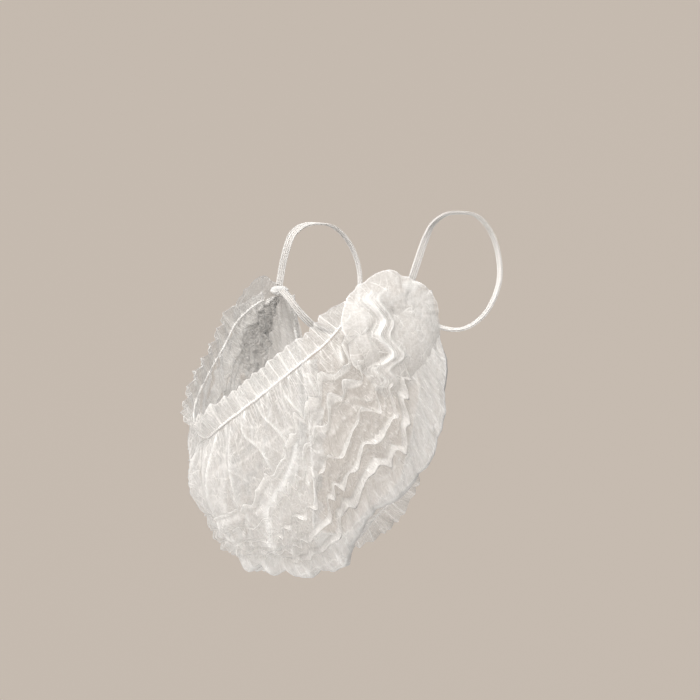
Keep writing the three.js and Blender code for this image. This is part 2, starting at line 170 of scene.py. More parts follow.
@dataclass(frozen=True)
class Section:
    """A section of the net.

    Attributes:
        at: its place, from 0 at the middle of the net to 1 at a gathered end.
        upper, fold, lower: each edge's side, front and drop, as shares of NetForm's sizes.
        bulge: how far the cloth stands off, as a share of NetForm's chin_bulge.
        flare: the upper ruffle's lean outwards, in degrees.
        turn: the lower ruffle's lean backwards, in degrees.
    """

    at: float
    upper: tuple[float, float, float]
    fold: tuple[float, float, float]
    lower: tuple[float, float, float]
    bulge: float
    flare: float
    turn: float


SECTIONS = (
    Section(0.0, (0.0, 1.0, 1.0), (0.0, 0.743, 0.96), (0.0, 0.343, 0.864), 1.0, 58, 20),
    Section(0.15, (0.222, 0.981, 0.901), (0.278, 0.571, 0.985), (0.208, 0.314, 0.864), 0.9, 45, 16),
    Section(0.3, (0.431, 0.895, 0.738), (0.486, 0.448, 0.955), (0.389, 0.257, 0.821), 0.85, 30, 12),
    Section(0.45, (0.597, 0.762, 0.535), (0.667, 0.4, 0.79), (0.542, 0.19, 0.743), 0.75, 24, 12),
    Section(0.6, (0.736, 0.629, 0.34), (0.861, 0.2, 0.65), (0.653, 0.162, 0.629), 0.6, 24, 15),
    Section(0.75, (0.812, 0.533, 0.169), (0.958, 0.105, 0.49), (0.75, 0.143, 0.471), 0.45, 30, 35),
    Section(0.9, (0.889, 0.4, 0.042), (1.0, 0.086, 0.236), (0.861, 0.143, 0.236), 0.25, 30, 60),
    Section(1.0, (0.9375, 0.3, -0.02), (0.975, 0.138, -0.02), (0.889, 0.21, 0.015), 0.0, 12, 60),
)


@dataclass(frozen=True)
class NetForm:
    """The unpleated form of the worn net, which every piece is laid out on.

    Attributes:
        net_width: across the widest sections.
        front_reach: from the origin to the front of the upper elastic.
        end_drop, upper_drop, bag_drop: how far down the gathered ends, the middle of the upper elastic and
            the middle of the outer fold are.
        chin_bulge: how far the cloth stands off between the elastic and the fold, in the middle.
        thread_width, seam_gap: of an elastic, and the space between it and the cloth.
        fold_roundness: how wide the bend of the outer fold is, across the pouch.
    """

    net_width: float = 144 * MM
    front_reach: float = 105 * MM
    end_drop: float = 42 * MM
    upper_drop: float = 113 * MM
    bag_drop: float = 182 * MM
    chin_bulge: float = 13.5 * MM
    thread_width: float = 1.2 * MM
    seam_gap: float = 0.5 * MM
    fold_roundness: float = 0.025

    def edge(self, which: Edge, u: np.ndarray) -> np.ndarray:
        """A line of the net.

        Args:
            which: the line.
            u: from the right end, at -1, to the left end, at 1.

        Returns:
            Points, with a last axis of 3.
        """
        u = np.asarray(u, float)
        s = np.abs(u)
        at = [section.at for section in SECTIONS]
        shares = np.array([getattr(section, which.value) for section in SECTIONS])
        side = along(at, shares[:, 0], s, odd=True)
        front = along(at, shares[:, 1], s)
        drop = along(at, shares[:, 2], s)
        full = self.upper_drop if which is Edge.UPPER else self.bag_drop
        down = self.end_drop + (full - self.end_drop) * drop
        return np.stack([np.sign(u) * side * self.net_width / 2, -front * self.front_reach, -down], -1)

    def share(self, name: str, u: np.ndarray) -> np.ndarray:
        """One of the sections' single numbers, such as bulge, at u."""
        at = [section.at for section in SECTIONS]
        return along(at, [getattr(section, name) for section in SECTIONS], np.abs(u))

    def outward(self, points: np.ndarray) -> np.ndarray:
        """Directions away from the middle of the hollow."""
        middle = np.array([0.0, -0.38 * self.front_reach, -1.06 * self.upper_drop])
        return unit(points - middle)

    def height(self, u: np.ndarray) -> np.ndarray:
        """The straight distance from the upper elastic to the outer fold."""
        return np.linalg.norm(self.edge(Edge.UPPER, u) - self.edge(Edge.FOLD, u), axis=-1)

    def _laid(self, u: np.ndarray, across: np.ndarray) -> np.ndarray:
        """A point of the pouch whose outer fold is a sharp corner.

        Args:
            u: from -1 at the right end to 1 at the left.
            across: 0 at the upper elastic, 1 at the outer fold and 2 at the lower elastic.

        Returns:
            Points, with a last axis of 3.
        """
        fold = self.edge(Edge.FOLD, u)
        above = (across < 1)[..., None]
        edge = np.where(above, self.edge(Edge.UPPER, u), self.edge(Edge.LOWER, u))
        seam = (self.thread_width / 2 + self.seam_gap) / np.linalg.norm(fold - edge, axis=-1)
        share = np.clip(np.abs(1 - across), 0, 1)
        point = fold + (edge - fold) * (share * (1 - seam))[..., None]
        bulge = np.where(across < 1, self.share("bulge", u) * np.sin(np.pi * np.clip(across, 0, 1)), 0.0)
        return point + self.outward(point) * (bulge * self.chin_bulge)[..., None]

    def point(self, u: np.ndarray, across: np.ndarray) -> np.ndarray:
        """A point of the unpleated pouch.

        Args:
            u: from -1 at the right end to 1 at the left.
            across: 0 at the upper elastic, 1 at the outer fold and 2 at the lower elastic.

        Returns:
            Points, with a last axis of 3.
        """
        u, across = np.broadcast_arrays(np.asarray(u, float), np.asarray(across, float))
        near = np.clip(1 - np.abs(across - 1) / (3 * self.fold_roundness), 0, 1)
        step = self.fold_roundness * near
        before = self._laid(u, across - step)
        after = self._laid(u, across + step)
        return 0.3 * before + 0.4 * self._laid(u, across) + 0.3 * after

    def normal(self, u: np.ndarray, across: np.ndarray) -> np.ndarray:
        """The cloth's outward direction at a point of the unpleated pouch.

        Args:
            u: from -1 at the right end to 1 at the left.
            across: 0 at the upper elastic, 1 at the outer fold and 2 at the lower elastic.

        Returns:
            Directions, with a last axis of 3.
        """
        du, da = 0.004, 0.02
        inner, middle = np.clip(u, -1 + du, 1 - du), np.clip(across, da, 2 - da)
        along_u = self.point(inner + du, across) - self.point(inner - du, across)
        along_a = self.point(u, middle + da) - self.point(u, middle - da)
        cross = unit(np.cross(along_u, along_a))
        facing = np.sign(np.sum(cross * self.outward(self.point(u, across)), -1, keepdims=True))
        under = smooth_step(1.05, 1.35, np.asarray(across, float))[..., None]
        return unit(cross * np.where(under > 0.5, -1.0, 1.0) * np.where(under > 0.5, -1.0, facing))


FORM = NetForm()


# Meshes


@dataclass
class Cloth:
    """A surface in the making: points, faces, a map over it in metres, and masks for what dresses it."""

    points: np.ndarray
    faces: np.ndarray
    over: np.ndarray
    masks: dict[str, np.ndarray] = field(default_factory=dict)

    @classmethod
    def from_grid(
        cls,
        grid: np.ndarray,
        over: np.ndarray,
        closed: bool = False,
        **masks: np.ndarray,
    ) -> "Cloth":
        """Makes a surface of a grid.

        Args:
            grid: points, columns by rows by 3.
            over: the map, columns by rows by 2.
            closed: whether the last row joins the first, as around a thread.
            masks: a value from 0 to 1 for each point.

        Returns:
            The surface.
        """
        columns, rows = grid.shape[:2]
        numbers = np.arange(columns * rows).reshape(columns, rows)
        if closed:
            numbers = np.concatenate([numbers, numbers[:, :1]], 1)
        a, b, c, d = numbers[:-1, :-1], numbers[1:, :-1], numbers[1:, 1:], numbers[:-1, 1:]
        faces = np.stack([a, b, c, d], -1).reshape(-1, 4)
        flat = {name: np.broadcast_to(mask, (columns, rows)).reshape(-1) for name, mask in masks.items()}
        return cls(grid.reshape(-1, 3), faces, over.reshape(-1, 2), flat)

    def joined(self, other: "Cloth") -> "Cloth":
        """This surface and another one with the same masks, as one."""
        return Cloth(
            np.concatenate([self.points, other.points]),
            np.concatenate([self.faces, other.faces + len(self.points)]),
            np.concatenate([self.over, other.over]),
            {name: np.concatenate([mask, other.masks[name]]) for name, mask in self.masks.items()},
        )

    def mirrored(self) -> "Cloth":
        """The same surface on the net's other side."""
        return Cloth(self.points * [-1, 1, 1], self.faces[:, ::-1], self.over * [-1, 1], self.masks)

    def piece(self, name: str) -> bpy.types.Object:
        """Puts the surface into the scene.

        Args:
            name: the piece's name.

        Returns:
            The new object, at the origin and smoothly shaded.
        """
        mesh = bpy.data.meshes.new(name)
        mesh.vertices.add(len(self.points))
        mesh.vertices.foreach_set("co", self.points.astype(np.float32).ravel())
        mesh.loops.add(self.faces.size)
        mesh.loops.foreach_set("vertex_index", self.faces.astype(np.int32).ravel())
        mesh.polygons.add(len(self.faces))
        mesh.polygons.foreach_set("loop_start", np.arange(0, self.faces.size, 4, dtype=np.int32))
        layer = mesh.uv_layers.new(name="over")
        layer.data.foreach_set("uv", self.over[self.faces.ravel()].astype(np.float32).ravel())
        for mask_name, mask in self.masks.items():
            made = mesh.attributes.new(mask_name, "FLOAT", "POINT")
            made.data.foreach_set("value", np.clip(mask, 0, 1).astype(np.float32))
        mesh.update(calc_edges=True)
        mesh.validate()
        mesh.shade_smooth()
        made_object = bpy.data.objects.new(name, mesh)
        bpy.context.scene.collection.objects.link(made_object)
        return made_object


def area_of(piece: bpy.types.Object) -> float:
    """The area of a piece's faces, in square metres."""
    return sum(polygon.area for polygon in piece.data.polygons)


# Finishes


@dataclass
class Shading:
    """A material's or group's nodes, with short ways to add and link them."""

    tree: bpy.types.NodeTree

    def add(self, kind: str, **values: object) -> bpy.types.Node:
        """Adds a node.

        Args:
            kind: the node's type name, without ShaderNode.
            values: its properties, and by their names, with spaces written as underscores, its inputs.

        Returns:
            The node.
        """
        node = self.tree.nodes.new("ShaderNode" + kind)
        for name, value in values.items():
            if hasattr(node, name) and name not in ("inputs", "outputs"):
                setattr(node, name, value)
            else:
                self.give(node, name.replace("_", " "), value)
        return node

    def give(self, node: bpy.types.Node, name: str | int, value: object) -> None:
        """Sets an input of a node.

        Args:
            node: the node.
            name: the input's name or number.
            value: a value to set, or another node's output to link.
        """
        socket = node.inputs[name]
        if isinstance(value, bpy.types.NodeSocket):
            self.tree.links.new(value, socket)
        else:
            socket.default_value = value

    def maths(self, operation: str, *values: object, clamp: bool = False) -> bpy.types.NodeSocket:
        """Adds a Math node.

        Args:
            operation: what it does.
            values: numbers or outputs.
            clamp: whether the result is kept from 0 to 1.

        Returns:
            The result.
        """
        node = self.tree.nodes.new("ShaderNodeMath")
        node.operation, node.use_clamp = operation, clamp
        for i, value in enumerate(values):
            self.give(node, i, value)
        return node.outputs[0]

    def mask(self, name: str) -> bpy.types.NodeSocket:
        """One of the masks that the surfaces carry."""
        return self.add("Attribute", attribute_name=name).outputs["Fac"]

    def blend(self, kind: str, share: object, low: object, high: object) -> bpy.types.NodeSocket:
        """Adds a Mix node.

        Args:
            kind: FLOAT or RGBA.
            share: how much of high is in the result.
            low, high: what is mixed.

        Returns:
            The result.
        """
        node = self.add("Mix", data_type=kind)
        first, output = (2, 0) if kind == "FLOAT" else (6, 2)
        for place, value in ((0, share), (first, low), (first + 1, high)):
            self.give(node, place, value)
        return node.outputs[output]

    def end(self, shader: bpy.types.Node) -> None:
        """Makes a shader the material's surface."""
        self.tree.links.new(shader.outputs[0], self.add("OutputMaterial").inputs["Surface"])

    def ramp(
        self,
        value: object,
        low: float,
        high: float,
        start: float = 0.0,
        end: float = 1.0,
    ) -> bpy.types.NodeSocket:
        """Spreads a value over a range and keeps it inside.

        Args:
            value: a number or an output.
            low, high: the values that give start and end.
            start, end: the range.

        Returns:
            The result.
        """
        node = self.add("MapRange", clamp=True)
        for name, given in (
            ("Value", value),
            ("From Min", low),
            ("From Max", high),
            ("To Min", start),
            ("To Max", end),
        ):
            self.give(node, name, given)
        return node.outputs["Result"]


def new_material(name: str) -> tuple[bpy.types.Material, Shading]:
    """Starts a material without any nodes.

    Args:
        name: its name.

    Returns:
        The material and its shading.
    """
    material = bpy.data.materials.new(name)
    material.use_nodes = True
    shading = Shading(material.node_tree)
    shading.tree.nodes.clear()
    return material, shading


def new_group(
    name: str,
    inputs: dict[str, tuple[str, object]],
    outputs: dict[str, str],
) -> tuple[Shading, bpy.types.Node, bpy.types.Node]:
    """Starts a node group.

    Args:
        name: its name.
        inputs: for each input, its socket type without NodeSocket and its default, or None.
        outputs: for each output, its socket type.

    Returns:
        The group's shading, its input node and its output node.
    """
    tree = bpy.data.node_groups.new(name, "ShaderNodeTree")
    for label, (kind, default) in inputs.items():
        socket = tree.interface.new_socket(label, in_out="INPUT", socket_type="NodeSocket" + kind)
        if default is not None:
            socket.default_value = default
    for label, kind in outputs.items():
        tree.interface.new_socket(label, in_out="OUTPUT", socket_type="NodeSocket" + kind)
    return Shading(tree), tree.nodes.new("NodeGroupInput"), tree.nodes.new("NodeGroupOutput")


def fibre_web() -> bpy.types.NodeTree:
    """Builds the web of fine fibres that spunbonded cloth is made of.

    Returns:
        A group with Fibres, the thickness of the web from 0 to 1, and Relief, its height.
    """
    shading, given, result = new_group(
        "fibre_web",
        {
            "Over": ("Vector", None),
            "Clump Size": ("Float", 0.004),
            "Fibre Size": ("Float", 0.0007),
            "Point Pitch": ("Float", 0.0016),
        },
        {"Fibres": "Float", "Relief": "Float"},
    )
    over = given.outputs["Over"]
    clumps = shading.add("TexNoise", noise_dimensions="2D", Vector=over, Detail=3.0, Roughness=0.65)
    shading.give(clumps, "Scale", shading.maths("DIVIDE", 1.0, given.outputs["Clump Size"]))
    bent = shading.add("VectorMath", operation="MULTIPLY_ADD")
    for place, value in enumerate((clumps.outputs["Color"], (0.004, 0.004, 0.0), over)):
        shading.give(bent, place, value)
    turned = shading.add("Mapping", vector_type="TEXTURE", Rotation=(0, 0, 0.6), Scale=(1.0, 5.0, 1.0))
    shading.give(turned, "Vector", bent.outputs[0])
    strands = shading.add(
        "TexNoise",
        noise_dimensions="2D",
        Detail=2.0,
        Roughness=0.6,
        Vector=turned.outputs[0],
    )
    shading.give(strands, "Scale", shading.maths("DIVIDE", 1.0, given.outputs["Fibre Size"]))
    streak = shading.maths("ABSOLUTE", shading.maths("SUBTRACT", strands.outputs[0], 0.5))
    lines = shading.ramp(streak, 0.0, 0.11, 1.0, 0.0)
    points = shading.add("TexVoronoi", voronoi_dimensions="2D", feature="F1", Vector=over, Randomness=0.35)
    shading.give(points, "Scale", shading.maths("DIVIDE", 1.0, given.outputs["Point Pitch"]))
    pressed = shading.ramp(points.outputs["Distance"], 0.16, 0.3, 1.0, 0.0)
    web = shading.maths(
        "ADD",
        shading.maths("MULTIPLY", clumps.outputs[0], 0.75),
        shading.maths("MULTIPLY", lines, 0.3),
    )
    shading.give(
        result,
        "Fibres",
        shading.maths("SUBTRACT", web, shading.maths("MULTIPLY", pressed, 0.12), clamp=True),
    )
    relief = shading.maths("ADD", lines, shading.maths("MULTIPLY", clumps.outputs[0], 1.2))
    shading.give(result, "Relief", shading.maths("SUBTRACT", relief, pressed))
    return shading.tree


def crumple_lines() -> bpy.types.NodeTree:
    """Builds the straight fine creases of thin cloth that has been crumpled, and the lines of its gathers.

    Returns:
        A group with Lines, 1 on a crease and 0 beside it, Gathers, the same for the lines that run away from
        an elastic, and Relief, the height of the facets between creases.
    """
    shading, given, result = new_group(
        "crumple_lines",
        {
            "Over": ("Vector", None),
            "Facet Size": ("Float", 0.006),
            "Gather Pitch": ("Float", 0.003),
            "Line Width": ("Float", 0.05),
        },
        {"Lines": "Float", "Gathers": "Float", "Relief": "Float"},
    )
    over, width = given.outputs["Over"], given.outputs["Line Width"]
    scale = shading.maths("DIVIDE", 1.0, given.outputs["Facet Size"])
    patches = shading.add("TexNoise", noise_dimensions="2D", Detail=1.0, Roughness=0.5, Vector=over)
    shading.give(patches, "Scale", shading.maths("MULTIPLY", scale, 0.8))
    bent = shading.add("VectorMath", operation="MULTIPLY_ADD")
    for place, value in enumerate((patches.outputs["Color"], (0.003, 0.003, 0.0), over)):
        shading.give(bent, place, value)
    lines, relief = [], []
    for turn, stretch, size, low in ((0.45, 2.6, 1.2, 0.42), (-0.5, 2.3, 0.55, 0.53)):
        turned = shading.add(
            "Mapping",
            vector_type="TEXTURE",
            Rotation=(0, 0, turn),
            Scale=(size, size * stretch, 1.0),
        )
        shading.give(turned, "Vector", bent.outputs[0])
        facets = shading.add(
            "TexVoronoi",
            voronoi_dimensions="2D",
            feature="DISTANCE_TO_EDGE",
            Randomness=1.0,
        )
        shading.give(facets, "Vector", turned.outputs[0])
        shading.give(facets, "Scale", scale)
        away = facets.outputs["Distance"]
        shown = shading.ramp(patches.outputs[0], low, low + 0.2)
        line = shading.maths(
            "SUBTRACT",
            1.0,
            shading.maths("DIVIDE", away, shading.maths("DIVIDE", width, size)),
            clamp=True,
        )
        lines.append(shading.maths("MULTIPLY", line, shown))
        relief.append(shading.maths("MULTIPLY", shading.maths("MINIMUM", away, 0.3), -2.4 * size))
    shading.give(result, "Lines", shading.maths("MAXIMUM", *lines))
    shading.give(result, "Relief", shading.maths("ADD", *relief))
    drawn = shading.add("Mapping", vector_type="TEXTURE", Scale=(1.0, 9.0, 1.0))
    shading.give(drawn, "Vector", bent.outputs[0])
    strands = shading.add(
        "TexNoise",
        noise_dimensions="2D",
        Detail=1.0,
        Roughness=0.5,
        Vector=drawn.outputs[0],
    )
    shading.give(strands, "Scale", shading.maths("DIVIDE", 1.0, given.outputs["Gather Pitch"]))
    beside = shading.maths("ABSOLUTE", shading.maths("SUBTRACT", strands.outputs[0], 0.5))
    shading.give(
        result,
        "Gathers",
        shading.maths("SUBTRACT", 1.0, shading.maths("DIVIDE", beside, width), clamp=True),
    )
    return shading.tree


def cloth_tone() -> bpy.types.NodeTree:
    """Builds how the web's thickness and folds show, with painted shade and painted highlights.

    Returns:
        A group with Colour, Cover, which is how much the cloth hides, and Gloss, its roughness.
    """
    shading, given, result = new_group(
        "cloth_tone",
        {
            "Fibres": ("Float", 0.5),
            "Lines": ("Float", 0.0),
            "Gathers": ("Float", 0.0),
            "Gathered": ("Float", 0.0),
            "Crest": ("Float", 0.0),
            "Ply": ("Float", 0.0),
            "Thin Colour": ("Color", (1, 1, 1, 1)),
            "Thick Colour": ("Color", (1, 1, 1, 1)),
            "Thin Cover": ("Float", 0.4),
            "Thick Cover": ("Float", 0.8),
        },
        {"Colour": "Color", "Cover": "Float", "Gloss": "Float"},
    )
    web = shading.ramp(given.outputs["Fibres"], 0.2, 0.75)
    cover = shading.blend("FLOAT", web, given.outputs["Thin Cover"], given.outputs["Thick Cover"])
    drawn = shading.maths("MULTIPLY", given.outputs["Gathers"], given.outputs["Gathered"])
    fine = shading.maths(
        "MAXIMUM",
        shading.maths("MULTIPLY", given.outputs["Lines"], 0.48),
        shading.maths("MULTIPLY", drawn, 0.75),
    )
    folds = shading.maths("ADD", shading.maths("MULTIPLY", given.outputs["Crest"], 0.85), fine)
    plies = shading.maths("ADD", folds, shading.maths("MULTIPLY", given.outputs["Ply"], 0.6), clamp=True)
    left = shading.maths(
        "MULTIPLY",
        shading.maths("SUBTRACT", 1.0, cover),
        shading.maths("SUBTRACT", 1.0, plies),
    )
    shading.give(result, "Cover", shading.maths("SUBTRACT", 1.0, left, clamp=True))
    # Painted light: thin web is painted a shaded grey, and folds, creases and gathers are whitened as painted
    # highlights on top of their real extra plies.
    thick = shading.maths("MAXIMUM", web, plies)
    colour = shading.blend("RGBA", thick, given.outputs["Thin Colour"], given.outputs["Thick Colour"])
    shading.give(result, "Colour", colour)
    shading.give(result, "Gloss", shading.ramp(web, 0.0, 1.0, 0.72, 0.9))
    return shading.tree


@dataclass(frozen=True)
class NonwovenFinish:
    """Thin white spunbonded cloth that shows what is behind it.

    Attributes:
        name: the material's name.
        thin_colour, thick_colour: of the cloth where it is thin, a grey that is painted shade, and where its
            web or a fold
        makes it thick, its white; folds, creases and gathers are also whitened as a painted highlight.
        thin_cover, thick_cover: how much a single layer hides, where its web is thin and where it is thick.
        clump_size, fibre_size, point_pitch: the web's clumps and fibres, and the pitch of its pressed points.
        facet_size, gather_pitch: how far apart the fine creases are, and the lines beside an elastic.
        crease_width: how wide the lines are, as a share of their distance.
        web_relief, crease_relief: how high the web and the facets between creases stand.
        glow: how much of the light comes from behind.
    """

    name: str = "nonwoven"
    # Painted shade: the thin web's grey stands in for shade in its open places; the cloth itself is white.
    thin_colour: tuple[float, float, float, float] = (0.78, 0.745, 0.71, 1)
    thick_colour: tuple[float, float, float, float] = (0.97, 0.96, 0.945, 1)
    thin_cover: float = 0.17
    thick_cover: float = 0.37
    clump_size: float = 1.3 * MM
    fibre_size: float = 1.5 * MM
    point_pitch: float = 1.3 * MM
    facet_size: float = 6.0 * MM
    gather_pitch: float = 2.6 * MM
    crease_width: float = 0.042
    web_relief: float = 0.035 * MM
    crease_relief: float = 0.4 * MM
    glow: float = 0.2

    def made(self, groups: dict[str, bpy.types.NodeTree]) -> bpy.types.Material:
        """Builds the material.

        Args:
            groups: the shared node groups by name.

        Returns:
            The material.
        """
        material, shading = new_material(self.name)
        over = shading.add("UVMap", uv_map="over").outputs[0]
        web = shading.add(
            "Group",
            node_tree=groups["fibre_web"],
            Over=over,
            Clump_Size=self.clump_size,
            Fibre_Size=self.fibre_size,
            Point_Pitch=self.point_pitch,
        )
        crumples = shading.add(
            "Group",
            node_tree=groups["crumple_lines"],
            Over=over,
            Facet_Size=self.facet_size,
            Gather_Pitch=self.gather_pitch,
            Line_Width=self.crease_width,
        )
        tone = shading.add(
            "Group",
            node_tree=groups["cloth_tone"],
            Fibres=web.outputs["Fibres"],
            Lines=crumples.outputs["Lines"],
            Gathers=crumples.outputs["Gathers"],
            Gathered=shading.mask("gathered"),
            Crest=shading.mask("crest"),
            Ply=shading.mask("ply"),
            Thin_Colour=self.thin_colour,
            Thick_Colour=self.thick_colour,
            Thin_Cover=self.thin_cover,
            Thick_Cover=self.thick_cover,
        )
        creased = shading.add(
            "Bump", Strength=0.8, Distance=self.crease_relief, Height=crumples.outputs["Relief"]
        )
        bump = shading.add(
            "Bump",
            Strength=0.6,
            Distance=self.web_relief,
            Height=web.outputs["Relief"],
            Normal=creased.outputs[0],
        )
        cloth = shading.add(
            "BsdfPrincipled",
            Normal=bump.outputs[0],
            Base_Color=tone.outputs["Colour"],
            Roughness=tone.outputs["Gloss"],
            Alpha=tone.outputs["Cover"],
            Sheen_Weight=0.25,
            Sheen_Roughness=0.5,
            Specular_IOR_Level=0.25,
        )
        lit_through = shading.add("BsdfTranslucent", Color=self.thick_colour)
        mix = shading.add("MixShader")
        for place, value in enumerate((self.glow, cloth.outputs[0], lit_through.outputs[0])):
            shading.give(mix, place, value)
        shading.end(mix)
        return material


@dataclass(frozen=True)
class ElasticFinish:
    """White covered or knitted elastic.

    Attributes:
        name: the material's name.
        colour, shadow_colour: of the yarn, and the painted shade in the hollows between its turns or
            stitches.
        yarn_size: how thick its fibres are.
        relief: how high they stand.
    """

    name: str
    colour: tuple[float, float, float, float] = (0.93, 0.915, 0.895, 1)
    shadow_colour: tuple[float, float, float, float] = (0.53, 0.49, 0.455, 1)
    yarn_size: float = 0.35 * MM
    relief: float = 0.06 * MM

    def made(self, groups: dict[str, bpy.types.NodeTree]) -> bpy.types.Material:
        """Builds the material.

        Args:
            groups: the shared node groups by name.

        Returns:
            The material.
        """
        material, shading = new_material(self.name)
        over = shading.add("UVMap", uv_map="over").outputs[0]
        web = shading.add(
            "Group",
            node_tree=groups["fibre_web"],
            Over=over,
            Clump_Size=4 * self.yarn_size,
            Fibre_Size=self.yarn_size,
            Point_Pitch=3 * self.yarn_size,
        )
        # Painted shade: the hollow mask and the gaps between fibres darken the yarn towards shadow_colour.
        depth = shading.maths("SUBTRACT", 1.0, web.outputs["Fibres"])
        between = shading.maths("MULTIPLY", depth, 0.25)
        painted_shade = shading.maths("ADD", shading.mask("hollow"), between, clamp=True)
        bump = shading.add("Bump", Strength=0.5, Distance=self.relief, Height=web.outputs["Relief"])
        yarn = shading.add(
            "BsdfPrincipled",
            Normal=bump.outputs[0],
            Base_Color=shading.blend("RGBA", painted_shade, self.colour, self.shadow_colour),
            Roughness=shading.ramp(web.outputs["Fibres"], 0.0, 1.0, 0.6, 0.85),
            Sheen_Weight=0.3,
        )
        shading.end(yarn)
        return material


# The pouch


@dataclass(frozen=True)
class Pleat:
    """A pleat along the pouch.

    Attributes:
        place: its share of the way from the upper elastic to the outer fold, at each station.
        length: how far its flap stands out, as a share of the pouch's pleat_length.
        teeth: how many times it sways to and fro from end to end.
        phase: where its first tooth begins.
        lean: how far it lies over, as a share of the pouch's pleat_lean.
    """

    place: tuple[float, ...]
    length: float
    teeth: float
    phase: float
    lean: float


@dataclass
class SectionRows:
    """The rows of the pouch's section, added one at a time, each with a value for every column."""

    columns: int
    across: list[np.ndarray] = field(default_factory=list)
    lift: list[np.ndarray] = field(default_factory=list)
    crest: list[np.ndarray] = field(default_factory=list)
    ply: list[np.ndarray] = field(default_factory=list)

    def add(
        self,
        across: np.ndarray | float,
        lift: np.ndarray | float,
        crest: np.ndarray | float = 0.0,
        ply: np.ndarray | float = 0.0,
    ) -> None:
        """Adds a row.

        Args:
            across: its place across.
            lift: its height over the unpleated pouch.
            crest: how much of a sharp fold it is, from 0 to 1, which whitens it, partly as a painted
                highlight.
            ply: how much more than one layer of cloth it is, from 0 to 1.
        """
        for rows, value in ((self.across, across), (self.lift, lift), (self.crest, crest), (self.ply, ply)):
            rows.append(np.broadcast_to(value, (self.columns,)))

    def stacked(self) -> tuple[np.ndarray, ...]:
        """The rows as arrays, columns by rows: across, lift, crest and ply."""
        return tuple(np.stack(rows, 1) for rows in (self.across, self.lift, self.crest, self.ply))


